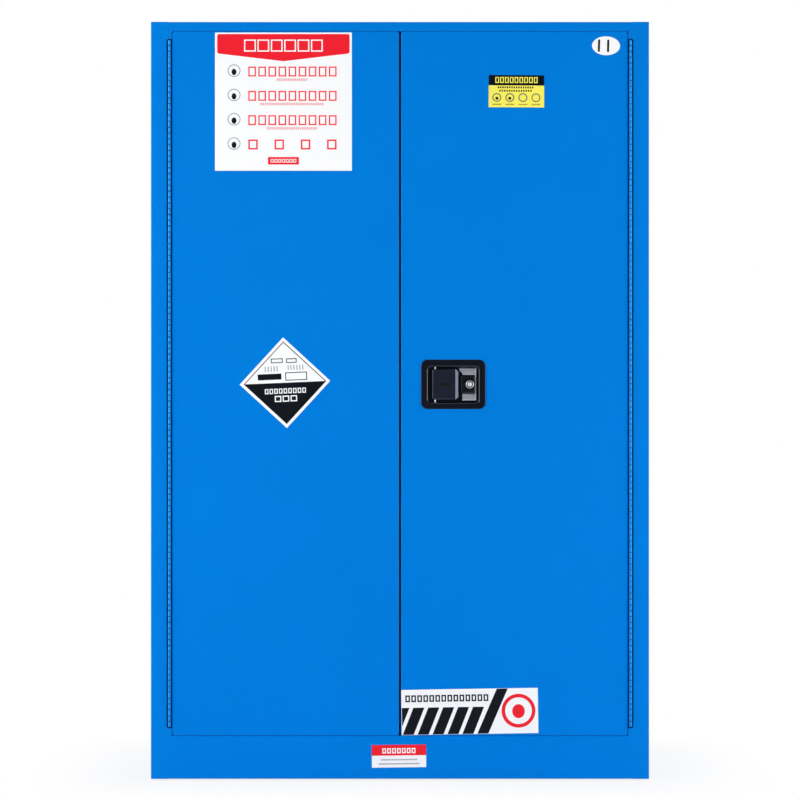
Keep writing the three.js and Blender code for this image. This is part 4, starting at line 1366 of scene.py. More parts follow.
    def corner_cutters(self, box: Box) -> list[Object]:
        """The cutters that slope off the paddle's two corners at its lip.

        Args:
            box: The CAD paddle's box.

        Returns:
            The cutters.
        """
        made, outer = [], box.high.x + self.wedge_reach
        front, back = box.low.y - self.paddle_depth, box.low.y + 2 * self.paddle_depth
        for z, up in ((box.low.z, -1), (box.high.z, 1)):
            far = (outer, back, z + up * self.wedge_height)
            wedge = cuboid("wedge", (box.high.x - self.chamfer_width, front, z), far)
            edge = both(at(Axis.Z, z), at(Axis.X, outer))
            shifted(wedge, edge, (0, 0, -up * self.chamfer_drop))
            made.append(wedge)
        return made

    def oval(self, name: str, middle: Vector, front: float, back: float) -> Object:
        """An oval block of the dent's outline about a middle, between two depths from it.

        Args:
            name: Its name.
            middle: The point that it is about.
            front: How far behind that point it starts.
            back: How far behind that point it ends.

        Returns:
            The block.
        """
        ends = middle + Vector((0, front, 0)), middle + Vector((0, back, 0))
        oval = cylinder(name, *ends, 0.5, 40)
        with editing(oval):
            bpy.ops.mesh.select_all(action="SELECT")
            size = (self.dent_width, 1, self.dent_height)
            bpy.ops.transform.resize(value=size, center_override=middle)
        return oval

    def pin(self) -> Object:
        """The pin that the paddle turns on.

        Returns:
            The pin, dressed.
        """
        box = Box.of("paddle_pin")
        radius, low = box.size.x / 2, (box.centre.x, box.centre.y, box.low.z)
        profile = double_ended(((radius * 0.7, 0), (radius, radius * 0.3)), box.size.z)
        pin = turned("paddle_pin_finished", low, UP, profile, 24)
        return dress(pin, BRIGHT_STEEL, "paddle_pin")

    def finger_plate(self) -> Object:
        """The bright plate: two arms and a strip round the lock, with a flange turned forward.

        Returns:
            The plate, dressed.
        """
        box, housing, sheet = Box.of("finger_plate"), Box.of("lock_housing"), self.plate_sheet
        middle, right, front = box.centre.z, box.high.x - self.plate_sheet, box.high.y - sheet
        plate = cuboid("finger_plate_finished", (box.low.x, front, box.low.z), box.high)
        united(plate, cuboid("flange", (right, box.low.y + sheet / 4, box.low.z), box.high))
        fold = both(along(Axis.Z), at(Axis.X, box.high.x), at(Axis.Y, box.high.y))
        bevel(plate, fold, self.plate_bend)
        left, back, half = box.low.x - sheet, box.high.y + sheet, self.arm_half
        arm, top = right - self.arm_reach, middle + half + self.arm_overlap
        far = (housing.high.x + sheet / 4, back, middle + half)
        window = cuboid("window", (left, box.low.y - sheet, middle - half), far)
        lower = cuboid("lower", (left, front - sheet, box.low.z - sheet), (arm, back, middle))
        corner = cuboid("corner", (left, front - sheet, middle), (arm, back, top))
        shifted(corner, both(at(Axis.Z, top), at(Axis.X, left)), (0, 0, self.arm_slope))
        carve(plate, window, lower, corner)
        beads = []
        for low in (middle + half, box.low.z):
            fore = front - self.bead_depth
            bead = cuboid("bead", (arm, fore, low), (right, front, low + self.bead))
            bevel(bead, both(along(Axis.X), at(Axis.Y, fore)), self.bead * 0.35, 3)
            beads.append(bead)
        low, high = (right, box.low.y, box.low.z), (box.high.x, box.low.y + sheet / 2, box.high.z)
        rim, radius = cuboid("rim", low, high), self.rivet_radius
        x, z = box.high.x + self.rivet_shift - radius, housing.centre.z + self.rivet_rise
        head = ((radius, 0), (radius * 0.85, 0.0006), (radius * 0.4, 0.001))
        rivet = turned("rivet", (x, front, z), FORWARD, head, 16)
        # The beads, the rim and the rivet are painted near white as a highlight.
        trim = painted(HIGHLIGHT_WHITE_STEEL, *beads, rim, rivet)
        whole = gathered("finger_plate_finished", *painted(BRUSHED_STEEL, plate), *trim)
        return dress(whole, None, "finger_plate")

    def build(self) -> list[Object]:
        """The handle's pieces, dressed."""
        return [self.tray(), self.paddle(), self.pin(), self.finger_plate()]


@dataclass
class KeyLock:
    """The black housing, the fixed barrel with its collar, and the plug that the key turns."""

    housing_corner: float = 0.0025
    housing_edge: float = 0.0016
    housing_bore: float = 0.0078
    barrel_radius: float = 0.0075
    barrel_bore: float = 0.0056
    barrel_reach: float = 0.04
    collar_edge: float = 0.0009
    ring_inner: float = 0.0049
    ring_outer: float = 0.0071
    ring_depth: float = 0.00025
    ring_fit: float = 0.00005
    ring_gap: float = 0.00003
    plug_edge: float = 0.00015
    keyway_width: float = 0.0016
    keyway_length: float = 0.007
    keyway_depth: float = 0.004
    face_radius: float = 0.0046
    face_edge: float = 0.0001
    face_steps: Profile = ((0.86, 0.00025), (0.62, 0.00025), (0.56, 0.00015))
    ring_edge: float = 0.0001

    def housing(self) -> Object:
        """The block round the key cylinder.

        Returns:
            The block, dressed.
        """
        box, barrel, name = Box.of("lock_housing"), Box.of("lock_cylinder"), "lock_housing_finished"
        radii = self.housing_corner, self.housing_edge
        block = rounded_block(name, box.low, box.high, Axis.Y, *radii)
        place, reach = (barrel.centre.x, box.centre.y, barrel.centre.z), box.size.y / 2 + CLEAR
        hole = bore(place, Axis.Y, self.housing_bore, reach)
        return dress(carve(block, hole), BLACK_ENAMEL, "lock_housing")

    def barrel(self) -> Object:
        """The fixed barrel, with a rounded collar on the housing's face.

        Returns:
            The barrel, dressed.
        """
        box, face = Box.of("lock_cylinder"), Box.of("lock_housing").low.y
        rise, top, edge, collar = box.high.y - face, box.size.y, self.collar_edge, box.size.x / 2
        profile = (
            (self.barrel_radius, 0),
            (self.barrel_radius, rise),
            (collar, rise),
            (collar, top - edge),
            (collar - edge * 0.3, top - edge * 0.3),
            (collar - edge, top),
            (self.ring_outer + edge / 3, top - edge / 4),
            (self.ring_outer, top - self.ring_depth * 1.5),
        )
        start = (box.centre.x, box.high.y, box.centre.z)
        barrel = turned("lock_cylinder_finished", start, FORWARD, profile, 48)
        through = bore(start, Axis.Y, self.barrel_bore, self.barrel_reach, 48)
        return dress(carve(barrel, through), BRIGHT_STEEL, "lock_cylinder")

    def dust_ring(self) -> Object:
        """A dark rubber ring within the collar, over the plug's rim: painted shade in the gap round
        the plug.

        Returns:
            The ring, dressed.
        """
        box, plug = Box.of("lock_cylinder"), Box.of("lock_plug")
        start = (box.centre.x, plug.low.y - self.ring_gap, box.centre.z)
        width = self.ring_outer - self.ring_fit
        edge = self.ring_edge
        profile = ((width, 0), (width, edge), (width - 2 * edge, 2 * edge))
        ring = turned("lock_dust_ring", start, FORWARD, profile, 48)
        hole = bore(start, Axis.Y, self.ring_inner, CLEAR, 48)
        return dress(carve(ring, hole), RUBBER, body="door_right")

    def plug(self) -> Object:
        """The plug with its cam and drive pins, as the CAD has them."""
        return dress(refined("lock_plug", self.plug_edge), BRIGHT_STEEL, "lock_plug")

    def plug_face(self) -> Object:
        """The stepped face of the plug, with its keyway.

        Returns:
            The face, dressed.
        """
        barrel, radius = Box.of("lock_cylinder").centre, self.face_radius
        start = Vector((barrel.x, Box.of("lock_plug").low.y, barrel.z))
        profile = (
            (radius, 0),
            (radius, self.face_edge),
            *((radius * share, rise) for share, rise in self.face_steps),
        )
        face = turned("lock_plug_face", start, FORWARD, profile, 40)
        slot = Vector((self.keyway_width, self.keyway_depth, self.keyway_length)) / 2
        carve(face, cuboid("keyway", start - slot, start + slot))
        # The plug's face is painted near white as a highlight.
        return dress(face, HIGHLIGHT_WHITE_STEEL, body="key_rotor")

    def build(self) -> list[Object]:
        """The lock's pieces, dressed."""
        return [self.housing(), self.barrel(), self.dust_ring(), self.plug(), self.plug_face()]


@dataclass
class Standards:
    """The slotted uprights that the shelf brackets hang in."""

    sheet: float = 0.0012
    bend: float = 0.0015
    slot_pitch: float = 0.025
    slot_width: float = 0.005
    slot_height: float = 0.014
    slot_cut: float = 0.004
    slot_corner: float = 0.0015
    first_slot: float = 0.03

    def standard(self, node: str) -> Object:
        """One upright: a channel open to the wall, with a slot every pitch.

        Args:
            node: The upright's CAD node.

        Returns:
            The upright, dressed.
        """
        box, pitch = Box.of(node), self.slot_pitch
        wall, front = sorted((box.low.x, box.high.x), key=abs, reverse=True)
        channel = cuboid(f"{node}_finished", box.low, box.high)
        bevel(channel, both(along(Axis.Z), at(Axis.X, front)), self.bend)
        with editing(channel):
            for axis, place in ((Axis.X, wall), (Axis.Z, box.low.z), (Axis.Z, box.high.z)):
                pick(channel, Element.FACE, at(axis, place))
                bpy.ops.mesh.delete(type="FACE")
        modify(channel, "SOLIDIFY", thickness=self.sheet, offset=-1, use_even_offset=True)
        low = box.low.z + self.first_slot
        low -= int((low - box.low.z - self.slot_height) / pitch) * pitch
        count = int((box.high.z - low - self.slot_height / 2) / pitch) + 1
        half = Vector((self.slot_cut, self.slot_width / 2, self.slot_height / 2))
        middle = Vector((front, box.centre.y, low))
        slots = rounded_block("slots", middle - half, middle + half, Axis.X, self.slot_corner)
        return dress(carve(channel, repeated(slots, count, (0, 0, pitch))), ZINC_PLATE, node)

    def build(self) -> list[Object]:
        """The four uprights, dressed."""
        nodes = (*pair("shelf_standard_front"), *pair("shelf_standard_back"))
        return [self.standard(node) for node in nodes]


@dataclass
class Vent:
    """A capped vent: the flanged tube, the flame arrestor in it and the screw-in cap."""

    side: Side
    bore: float = 0.0245
    wall: float = 0.0025
    flange: float = 0.003
    edge: float = 0.0008
    cup_wall: float = 0.002
    cup_edge: float = 0.0005
    hole_pitch: float = 0.0042
    hole_radius: float = 0.0013
    hole_cut: float = 0.002
    hole_margin: float = 0.004
    plug_length: float = 0.014
    plug_play: float = 0.0003
    cap_flange: float = 0.004
    cap_edge: float = 0.001
    ribs: int = 36
    rib: float = 0.0009
    rib_share: float = 1.6
    rib_side: float = 0.003
    rib_length: float = 0.0038
    dish: float = 0.0006
    dish_rim: float = 0.8
    dish_floor: float = 0.78
    grip_half: float = 0.025
    grip_width: float = 0.012
    grip_sunk: float = 0.002
    grip_corner: float = 0.0055
    grip_edge: float = 0.002

    def place(self, x: float) -> Vector:
        """A point on the vent's line, at a distance from the cabinet's middle."""
        centre = Box.of(f"vent_cap_{self.side.word}").centre
        return Vector((self.side.value * x, centre.y, centre.z))

    def reach(self, node: str) -> tuple[float, float, float]:
        """How near to the cabinet's middle a node comes, how far it goes, and its radius.

        Args:
            node: The CAD node.

        Returns:
            The two distances and the radius.
        """
        box = Box.of(node)
        near, far = sorted((abs(box.low.x), abs(box.high.x)))
        return near, far, box.size.y / 2

    def round_piece(self, name: str, near: float, profile: Profile, sides: int) -> Object:
        """A turned piece on the vent's line, drawn out from a distance."""
        return turned(name, self.place(near), (self.side.value, 0, 0), profile, sides)

    def tube(self) -> Object:
        """The tube, flanged on the outside.

        Returns:
            The tube, dressed.
        """
        node = f"vent_tube_{self.side.word}"
        near, far, rim = self.reach(node)
        outer, top, edge = self.bore + self.wall, far - near, self.edge
        profile = (
            (outer, 0),
            (outer, top - self.flange),
            (rim, top - self.flange),
            (rim, top - edge),
            (rim - edge, top),
        )
        tube = self.round_piece(f"{node}_finished", near, profile, 64)
        ends = self.place(near - CLEAR), self.place(far + CLEAR)
        return dress(carve(tube, cylinder("through", *ends, self.bore, 64)), ZINC_PLATE, node)

    def around(self, count: int) -> Iterator[Vector]:
        """The ways from the vent's line to a ring of things about it.

        Args:
            count: How many things there are.

        Returns:
            The ways, one after another.
        """
        for step in range(count):
            angle = math.tau * step / count
            yield Vector((0, math.cos(angle), math.sin(angle)))

    def arrestor(self) -> Object:
        """The perforated cup, with rings of small holes in its floor.

        Returns:
            The cup, dressed.
        """
        node = f"flame_arrestor_{self.side.word}"
        near, far, radius = self.reach(node)
        edge, wall, cut = self.cup_edge, self.cup_wall, self.hole_cut
        profile = ((radius - edge, 0), (radius, edge), (radius, far - near))
        cup = self.round_piece(f"{node}_finished", near, profile, 64)
        ends = self.place(near + wall), self.place(far + CLEAR)
        carve(cup, cylinder("well", *ends, radius - wall, 64))
        holes = []
        for ring in range(1, int((radius - self.hole_margin) / self.hole_pitch) + 1):
            for way in self.around(6 * ring):
                offset = way * ring * self.hole_pitch
                ends = self.place(near - cut) + offset, self.place(near + wall + cut) + offset
                holes.append(cylinder("hole", *ends, self.hole_radius, 10))
        return dress(carve(cup, gathered("holes", *holes)), BRASS, node)

    def cap(self) -> Object:
        """The cap: a ribbed disc with a bar to turn it by.

        Returns:
            The cap, dressed.
        """
        node = f"vent_cap_{self.side.word}"
        near, far, rim = self.reach(node)
        plug, base, edge = self.bore - self.plug_play, self.plug_length, self.cap_edge
        top, disc, rib = base + self.cap_flange, rim - self.rib, self.rib * self.rib_share
        profile = (
            (plug, 0),
            (plug, base),
            (disc, base),
            (disc, top - edge),
            (disc - edge, top),
            (rim * self.dish_rim, top),
            (rim * self.dish_floor, top - self.dish),
        )
        cap = self.round_piece(f"{node}_finished", near, profile, 72)
        shape = ((rib, 0), (rib, self.rib_side), (rib * 0.5, self.rib_length))
        ribs = []
        for out in self.around(self.ribs):
            start = self.place(near + base) + out * (rim - rib)
            ribs.append(turned("rib", start, (self.side.value, 0, 0), shape, 8))
        half = Vector((0, self.grip_half, self.grip_width / 2))
        ends = self.place(near + base + self.grip_sunk) - half, self.place(far) + half
        grip = cuboid("grip", *ends)
        bevel(grip, along(Axis.X), self.grip_corner, CORNER_STEPS)
        bevel(grip, at(Axis.X, self.place(far).x), self.grip_edge)
        return dress(gathered(f"{node}_finished", cap, grip, *ribs), ZINC_PLATE, node)

    def build(self) -> list[Object]:
        """The vent's pieces, dressed."""
        return [self.tube(), self.arrestor(), self.cap()]


@dataclass
class LevellingFoot:
    """A foot: a rubber-soled pad with a lock nut on a threaded stud."""

    node: str
    sole: float = 0.002
    sole_inset: float = 0.0004
    sole_edge: float = 0.0006
    sole_bevel: float = 0.0008
    pad_edge: float = 0.005
    pad_bevel: float = 0.001
    pad_height: float = 0.008
    neck: float = 0.011
    nut_radius: float = 0.009
    nut_height: float = 0.005
    nut_edge: float = 0.0005
    stud: float = 0.005
    thread_pitch: float = 0.002
    thread_depth: float = 0.0006

    def build(self) -> list[Object]:
        """The foot alone, dressed.

        Returns:
            The foot, in a list.
        """
        box, edge = Box.of(self.node), self.pad_edge - self.sole
        radius, base = box.size.x / 2, Vector((box.centre.x, box.centre.y, box.low.z))
        profile = (
            (radius, 0),
            (radius, edge - self.pad_bevel),
            (radius - self.pad_bevel, edge),
            (self.neck, self.pad_height - self.sole),
        )
        pad = turned("pad", base + Vector((0, 0, self.sole)), UP, profile, 48)
        rim = radius - self.sole_inset
        shape = ((rim - self.sole_bevel, 0), (rim, self.sole_edge), (rim, self.sole))
        sole = turned("sole", base, UP, shape, 48)
        levels = self.pad_height, self.pad_height + self.nut_height
        nut = cylinder("nut", *(base + Vector((0, 0, z)) for z in levels), self.nut_radius, 6)
        ease(nut, self.nut_edge)
        start = base + Vector((0, 0, self.pad_edge))
        stud = turned("stud", start, UP, self.thread(box.size.z - self.pad_edge), 24)
        painted(ZINC_PLATE, pad, nut, stud)
        painted(RUBBER, sole)
        foot = dress(gathered(f"{self.node}_finished", pad, sole, nut, stud), None, self.node)
        return [foot]

    def thread(self, length: float) -> list[tuple[float, float]]:
        """The profile of a threaded stud, ridge by ridge.

        Args:
            length: How long the stud is.

        Returns:
            The radius at each distance from its start.
        """
        start = self.pad_height + self.nut_height - self.pad_edge
        root, pitch = self.stud - self.thread_depth, self.thread_pitch
        profile = [(root, 0.0), (root, start)]
        for turn in range(int((length - start) / pitch) - 1):
            foot = start + turn * pitch
            profile += [(self.stud, foot + pitch * 0.5), (root, foot + pitch)]
        return [*profile, (root, length)]


@dataclass
class SmallParts:
    """The doorway's ribbed strip, the strip between the doors and the brass earthing stud."""

    edges: dict[str, tuple[float, Finish]] = field(
        default_factory=lambda: {
            "door_seal": (0.0009, RUBBER),
            "edge_seal": (0.0004, RUBBER),
            "earth_stud": (0.0004, BRASS),
        }
    )

    def build(self) -> list[Object]:
        """The strips and the stud, dressed."""
        rows = self.edges.items()
        return [dress(refined(node, edge), finish, node) for node, (edge, finish) in rows]


# Labels


class Outline(Enum):
    """The outline of a colour field."""

    RECTANGLE = "rectangle"
    OVAL = "oval"
    DIAMOND = "diamond"
    LOWER_HALF = "lower half of a diamond"


@dataclass(frozen=True)
class Patch:
    """One colour field of a label, or the first of a row of like ones.

    It has its middle, width and height on the front from the label's middle, and its layer.
    """

    finish: Finish
    x: float
    z: float
    width: float
    height: float
    layer: int = 1
    outline: Outline = Outline.RECTANGLE
    corner: float = 0.0
    lean: float = 0.0
    dip: float = 0.0
    count: int = 1
    pitch: float = 0.0
    start: float | None = None


@dataclass
class Label:
    """A plain film on the front, made of colour fields that stand a hair proud of each other."""

    name: str
    node: str
    x: float
    z: float
    patches: list[Patch]
    tilt: float = 0.0
    film: float = 0.00018
    layer_rise: float = 0.00006

    def solid(self, patch: Patch, face: float) -> Object:
        """A colour field as a thin closed solid on the face.

        Args:
            patch: The colour field.
            face: The depth of the face under the label.

        Returns:
            The solid.
        """
        front = face - self.film - patch.layer * self.layer_rise
        half = Vector((patch.width, 0, patch.height)) / 2
        middle = Vector((self.x + patch.x, face, self.z + patch.z))
        if patch.outline is Outline.RECTANGLE:
            made = cuboid("patch", Vector((middle.x, front, middle.z)) - half, middle + half)
            if patch.corner:
                bevel(made, along(Axis.Y), patch.corner)
            if patch.lean:
                shifted(made, at(Axis.Z, middle.z + half.z), (patch.lean, 0, 0))
            if patch.dip:
                self.cut(made, middle, (1, 0, 0))
                low = both(at(Axis.X, middle.x), at(Axis.Z, middle.z - half.z))
                shifted(made, low, (0, 0, -patch.dip))
        else:
            sides = 64 if patch.outline is Outline.OVAL else 4
            made = cylinder("patch", (middle.x, front, middle.z), middle, 0.5, sides)
            with editing(made):
                bpy.ops.mesh.select_all(action="SELECT")
                size = (patch.width, 1, patch.height)
                bpy.ops.transform.resize(value=size, center_override=middle)
            if patch.outline is Outline.LOWER_HALF:
                self.cut(made, middle, UP, away=True)
        if patch.count > 1:
            repeated(made, patch.count, (patch.pitch, 0, 0))
        if patch.start is not None:
            self.cut(made, (self.x + patch.start, 0, 0), (-1, 0, 0), away=True)
        return made

    def cut(self, piece: Object, place: Numbers, way: Numbers, away: bool = False) -> None:
        """Cuts through a field at a place.

        Args:
            piece: The field's solid.
            place: A point on the cut.
            way: The way that the cut faces.
            away: Whether what lies that way is cut off.
        """
        with editing(piece):
            bpy.ops.mesh.select_all(action="SELECT")
            bpy.ops.mesh.bisect(plane_co=place, plane_no=way, use_fill=away, clear_outer=away)

    def build(self) -> list[Object]:
        """The label alone, dressed.

        Returns:
            The label, in a list.
        """
        face = Box.of(self.node).low.y
        parts = [painted(patch.finish, self.solid(patch, face))[0] for patch in self.patches]
        label = gathered(self.name, *parts)
        middle = Vector((self.x, face, self.z))
        turn = Matrix.Rotation(-math.radians(self.tilt), 4, "Y")
        label.data.transform(Matrix.Translation(middle) @ turn @ Matrix.Translation(-middle))
        return [dress(label, None, body=bpy.data.objects[self.node]["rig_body"], smooth=20)]


def row(
    finish: Finish,
    place: tuple[float, float],
    size: tuple[float, float],
    count: int = 1,
    share: float = 1,
    ground: Finish | None = None,
    line: float = 0.0,
    layer: int = 1,
    outline: Outline = Outline.RECTANGLE,
) -> list[Patch]:
    """A row of plain fields, or of plain frames.

    Args:
        finish: The colour of the fields.
        place: The middle of the row from the label's middle.
        size: The width and height of the whole row.
        count: How many fields it has.
        share: The share of the pitch that each one fills.
        ground: The colour within the frames, where they are frames.
        line: The width of a frame's line.
        layer: The layer that they lie in.
        outline: The outline of each one.

    Returns:
        One row, or for frames two.
    """
    (x, z), (width, height) = place, size
    pitch = width / (count - 1 + share)
    own = pitch * share
    first = x - (width - own) / 2
    rows = [Patch(finish, first, z, own, height, layer, outline, count=count, pitch=pitch)]
    if ground:
        inner = own - 2 * line, height - 2 * line
        rows.append(Patch(ground, first, z, *inner, layer + 1, outline, count=count, pitch=pitch))
    return rows


def notice_label() -> Label:
    """The large white film at the top of the left door, with plain frames in rows.

    Returns:
        The label.
    """
    title, foot, disc_x, oval = (0, 0.1225), (0, -0.1294), -0.108, Outline.OVAL
    patches = [
        Patch(WHITE_FILM, 0, 0, 0.2993, 0.3022, 0, corner=0.0006),
        Patch(RED_FILM, 0, 0.1263, 0.2897, 0.043, 1, corner=0.0045, dip=0.0165),
        *row(WHITE_FILM, title, (0.172, 0.0265), 6, 0.88, RED_FILM, 0.0027, layer=2),
    ]
    first_level, level_pitch, under_drop, under_pitch = 0.0658, 0.0532, 0.0178, 0.0048
    for place, under in enumerate((0.066, 0.138, 0.109, 0)):
        z = first_level - place * level_pitch
        disc, size = (disc_x, z + 0.002), (0.028, 0.027)
        patches += row(GREY_FILM, disc, size, ground=WHITE_FILM, line=0.0018, outline=oval)
        patches.append(Patch(BLACK_FILM, disc_x, z - 0.001, 0.0105, 0.014, 3, oval))
        count, share, line = (9, 0.76, 0.0029) if under else (4, 0.36, 0.0034)
        patches += row(RED_FILM, (0.0197, z), (0.193, 0.0218), count, share, WHITE_FILM, line)
        if under:
            place, count = (0.0186, z - under_drop), round(under / under_pitch)
            patches += row(PALE_RED_FILM, place, (under, 0.0054), count, 0.72)
    patches.append(Patch(RED_FILM, *foot, 0.0678, 0.0165, 1))
    patches += row(WHITE_FILM, foot, (0.056, 0.0076), 7, 0.8, RED_FILM, 0.0015, layer=2)
    return Label("label_notice", "door_skin_left", -0.255, 1.4854, patches)


def yellow_label() -> Label:
    """The small yellow film on the right door, with a black band and plain marks.

    Returns:
        The label.
    """
    width, oval, ring, dots = 0.1213, Outline.OVAL, (0, -0.0138), (-0.0285, -0.0155)
    patches = [
        Patch(YELLOW_FILM, 0, 0, width, 0.0704, 0),
        Patch(BLACK_FILM, 0, 0.024, width, 0.0224, 1),
        *row(YELLOW_FILM, (0, 0.0246), (0.0925, 0.013), 9, 0.78, BLACK_FILM, 0.0021, layer=2),
        *row(BLACK_FILM, (-0.002, 0.0084), (0.078, 0.0042), 16, 0.62),
        *row(BLACK_FILM, (-0.002, 0.001), (0.071, 0.0042), 14, 0.58),
        *row(SLATE_FILM, ring, (0.105, 0.019), 4, 0.68, YELLOW_FILM, 0.0022, outline=oval),
        *row(BLACK_FILM, dots, (0.0346, 0.0066), 2, 0.23, layer=3, outline=oval),
        *row(OCHRE_FILM, (0, -0.0288), (0.105, 0.0026), 4, 0.66),
    ]
    return Label("label_yellow", "door_skin_right", 0.2546, 1.508, patches, tilt=-0.35)


def oval_label() -> Label:
    """The oval film at the top of the right door, with two plain bars.

    Returns:
        The label.
    """
    patches = [
        Patch(WHITE_FILM, 0, 0, 0.0614, 0.0412, 0, Outline.OVAL),
        *(Patch(BLACK_FILM, x, 0, 0.0046, 0.0275, 1, corner=0.0022) for x in (-0.0155, 0.0045)),
    ]
    return Label("label_oval", "door_skin_right", 0.4507, 1.6075, patches, tilt=-1.2)


def diamond_label() -> Label:
    """The diamond film on the left door, white above and black below, with plain marks.

    Returns:
        The label.
    """
    width, margin, line, white = 0.1985, 0.0178, 0.0052, {"ground": WHITE_FILM, "line": 0.0019}
    inner, wide, tall = width - margin, (0.0898, 0.0112), (0.049, 0.0134)
    black = {"ground": BLACK_FILM, "layer": 4}
    patches = [
        Patch(WHITE_FILM, 0, 0, width, width, 0, Outline.DIAMOND),
        Patch(BLACK_FILM, 0, 0, inner, inner, 1, Outline.DIAMOND),
        Patch(WHITE_FILM, 0, 0, inner - line, inner - line, 2, Outline.DIAMOND),
        Patch(BLACK_FILM, 0, 0, inner, inner, 3, Outline.LOWER_HALF),
        Patch(BLACK_FILM, -0.0331, 0.0139, 0.0517, 0.013, 3),
        *row(BLACK_FILM, (0.025, 0.0134), (0.0476, 0.0182), layer=3, **white),
        *row(BLACK_FILM, (-0.0158, 0.0486), (0.026, 0.01), layer=3, **white),
        *row(BLACK_FILM, (0.016, 0.0478), (0.023, 0.01), layer=3, **white),
        *row(GREY_FILM, (-0.0288, 0.031), (0.028, 0.0118), 5, 0.32, layer=3),
        *row(GREY_FILM, (0.0243, 0.0325), (0.034, 0.0108), 6, 0.32, layer=3),
        *row(WHITE_FILM, (0.0002, -0.0179), wide, 9, 0.76, line=0.0021, **black),
        *row(WHITE_FILM, (0.0007, -0.0348), tall, 3, 0.84, line=0.0025, **black),
    ]
    return Label("label_diamond", "door_skin_left", -0.2516, 0.8706, patches, tilt=2.45)


def striped_label() -> Label:
    """The striped film at the foot of the right door, with a plain ring.

    Returns:
        The label.
    """
    width, height, stripe, low, ring = 0.2988, 0.0989, 0.0241, -0.0489, (0.1065, 0)
    film, oval, across = SOFT_WHITE_FILM, Outline.OVAL, {"count": 6, "pitch": 0.03265}
    short, start = 0.0589, 0.0008 - width / 2
    patches = [
        Patch(film, 0, 0, width, height, 0),
        *row(BLACK_FILM, (-0.0499, 0.0298), (0.1815, 0.0148), 14, 0.78, film, 0.0031),
        Patch(BLACK_FILM, -0.1682, low + 0.0294, stripe, short, lean=0.0243, start=start, **across),
        Patch(BLACK_FILM, 0.0277, 0, stripe, -2 * low, lean=0.044),
        *row(RED_FILM, ring, (0.074, 0.074), ground=film, line=0.0078, outline=oval),
        Patch(RED_FILM, 0.1065, -0.001, 0.0275, 0.0305, 3, oval),
    ]
    return Label("label_striped", "door_skin_right", 0.1527, 0.1516, patches, tilt=0.93)


def base_label() -> Label:
    """The small film on the base rail, red above and white below.

    Returns:
        The label.
    """
    width, height = 0.1188, 0.0495
    patches = [
        Patch(SOFT_WHITE_FILM, 0, 0, width, height, 0),
        Patch(RED_FILM, 0, 0.0131, width, 0.0234, 1),
        *row(WHITE_FILM, (0, 0.0118), (0.0724, 0.0112), 7, 0.76, RED_FILM, 0.0023, layer=2),
        *row(SLATE_FILM, (0, -0.0077), (0.077, 0.0034), 17, 0.5),
        *row(SLATE_FILM, (0, -0.0167), (0.0866, 0.0034), 19, 0.5),
    ]
    return Label("label_base", "base_rail", -0.0023, 0.054, patches, tilt=0.75)


# The studio


@dataclass(frozen=True)
class Softbox:
    """A rectangular lamp: where it stands, where it points, its width, height and power."""

    name: str
    place: tuple[float, float, float]
    target: tuple[float, float, float]
    width: float
    height: float
    power: float

    def build(self) -> None:
        """Places the lamp."""
        bpy.ops.object.light_add(type="AREA", location=self.place)
        lamp = bpy.context.object
        lamp.name = self.name
        lamp.data.shape = "RECTANGLE"
        lamp.data.size, lamp.data.size_y = self.width, self.height
        lamp.data.energy = self.power
        way = Vector(self.target) - Vector(self.place)
        lamp.rotation_euler = way.to_track_quat("-Z", "Y").to_euler()


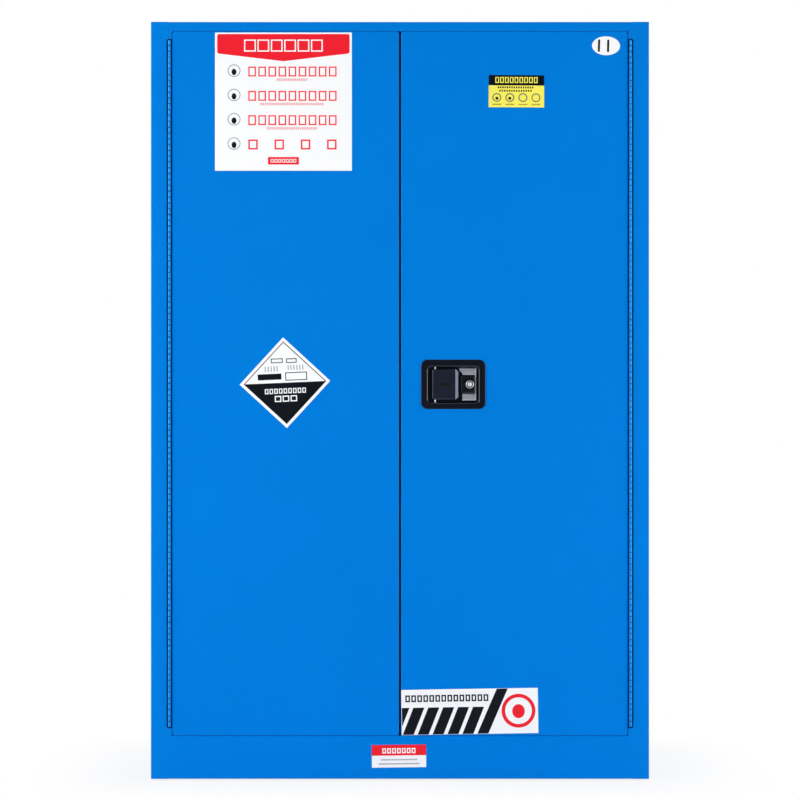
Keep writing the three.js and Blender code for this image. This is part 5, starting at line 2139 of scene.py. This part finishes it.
@dataclass
class Studio:
    """The camera, the pale floor, the lamps and the world."""

    front: float
    frame_width: float = 1.7497
    camera_distance: float = 5.5
    camera_height: float = 0.8328
    sensor: float = 36.0
    floor_size: float = 30.0
    floor_shade: float = 0.93
    floor_roughness: float = 0.8
    floor_gloss: float = 0.1
    footprint: tuple[float, float] = (0.56, 0.24)
    shadow_reach: float = 0.3
    shadow_share: float = 0.16
    ambient: float = 0.14
    dark_end: float = -0.6
    white_end: float = 0.2
    dark: float = 0.04
    lamps: tuple[Softbox, ...] = (
        Softbox("key", (-2.9, -3.8, 2.4), (0, 0, 0.7), 1.4, 1.8, 75),
        Softbox("fill", (3.0, -3.8, 1.0), (0, 0, 0.6), 1.4, 2.0, 40),
        Softbox("left_panel", (-3.0, -0.8, 0.8), (0, -0.3, 0.8), 2.2, 2.6, 78),
        Softbox("right_panel", (3.0, -0.8, 0.8), (0, -0.3, 0.8), 2.2, 2.6, 78),
        Softbox("top", (0, 0.3, 4.4), (0, 0, 0), 2.5, 2.5, 40),
        Softbox("back", (0.8, 4.0, 1.6), (0, 0, 0.8), 2.0, 2.0, 45),
    )

    def camera(self) -> None:
        """Sets the camera square to the front, so that the front fills the photograph's frame."""
        place = (0, self.front - self.camera_distance, self.camera_height)
        bpy.ops.object.camera_add(location=place, rotation=(math.radians(90), 0, 0))
        camera = bpy.context.object
        camera.name = "camera"
        camera.data.sensor_width = self.sensor
        camera.data.lens = self.sensor * self.camera_distance / self.frame_width
        bpy.context.scene.camera = camera

    def white_ray(self, tree: Tree) -> Any:
        """1 for the rays that should see the white background, else 0."""
        seen = math_node(tree, "MAXIMUM", ray(tree, "Camera"), ray(tree, "Glossy"))
        return math_node(tree, "MAXIMUM", seen, ray(tree, "Transmission"))

    def beyond_footprint(self, tree: Tree) -> Any:
        """The distance from the cabinet's footprint, by its socket.

        Args:
            tree: The floor's shader tree.

        Returns:
            The socket.
        """
        squares = []
        for source, half in zip(position(tree, "Object"), self.footprint):
            size = math_node(tree, "ABSOLUTE", source, 0.0)
            beyond = math_node(tree, "MAXIMUM", math_node(tree, "SUBTRACT", size, half), 0.0)
            squares.append(math_node(tree, "POWER", beyond, 2.0))
        return math_node(tree, "POWER", math_node(tree, "ADD", *squares), 0.5)

    def floor(self) -> None:
        """The pale floor, which runs out into white away from the cabinet."""
        bpy.ops.mesh.primitive_plane_add(size=self.floor_size)
        floor = bpy.context.object
        floor.name = "floor"
        material = bpy.data.materials.new("pale_floor")
        material.use_nodes = True
        tree = material.node_tree
        pale, white = tree.nodes["Principled BSDF"], shader_node(tree, "Emission")
        pale.inputs["Base Color"].default_value = (*[self.floor_shade] * 3, 1)
        pale.inputs["Roughness"].default_value = self.floor_roughness
        pale.inputs["Specular IOR Level"].default_value = self.floor_gloss
        distance, near = self.beyond_footprint(tree), 1 - self.shadow_share
        ends = {"Value": distance, "From Max": self.shadow_reach, "To Min": near}
        spread = shader_node(tree, "MapRange", ends, interpolation_type="SMOOTHSTEP")
        mask = math_node(tree, "MULTIPLY", spread.outputs["Result"], ray(tree, "Camera"))
        mixed = blend_node(tree, mask, pale.outputs[0], white.outputs[0])
        link(tree, mixed, tree.nodes["Material Output"].inputs[0])
        floor.data.materials.append(material)

    def world(self) -> None:
        """Even light from all round, white behind the cabinet and darker behind the camera."""
        world = bpy.data.worlds.new("studio")
        bpy.context.scene.world = world
        world.use_nodes = True
        tree = world.node_tree
        tree.nodes.clear()
        way = position(tree, "Generated")["Y"]
        ends = {"From Min": self.dark_end, "From Max": self.white_end, "To Min": self.dark}
        fade = shader_node(tree, "MapRange", {"Value": way, **ends}).outputs["Result"]
        strengths = self.ambient, math_node(tree, "MAXIMUM", fade, ray(tree, "Camera"))
        white = {"Color": (255, 255, 255)}
        grounds = (shader_node(tree, "Background", {**white, "Strength": s}) for s in strengths)
        light, seen = (ground.outputs[0] for ground in grounds)
        mixed = blend_node(tree, self.white_ray(tree), light, seen)
        shader_node(tree, "OutputWorld", {"Surface": mixed})

    def build(self) -> None:
        """Builds the studio."""
        bpy.context.scene.view_settings.view_transform = "Standard"
        self.camera()
        self.floor()
        self.world()
        for lamp in self.lamps:
            lamp.build()


def main() -> None:
    """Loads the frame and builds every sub-assembly."""
    logging.basicConfig(level=logging.INFO, format="%(message)s")
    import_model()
    bpy.ops.object.select_all(action="DESELECT")
    for group in (grain_group, wear_group, spangle_group):
        group()
    Studio(front=Box.of("door_skin_left").low.y).build()
    assemblies = [
        SheetMetal(),
        *(Door(side) for side in Side),
        *(ContinuousHinge(side) for side in Side),
        RecessedHandle(),
        KeyLock(),
        Standards(),
        *(Vent(side) for side in Side),
        *(LevellingFoot(node) for node in (*pair("foot_front"), *pair("foot_back"))),
        SmallParts(),
        notice_label(),
        yellow_label(),
        oval_label(),
        diamond_label(),
        striped_label(),
        base_label(),
    ]
    for assembly in assemblies:
        for piece in assembly.build():
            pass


if __name__ == "__main__":
    main()
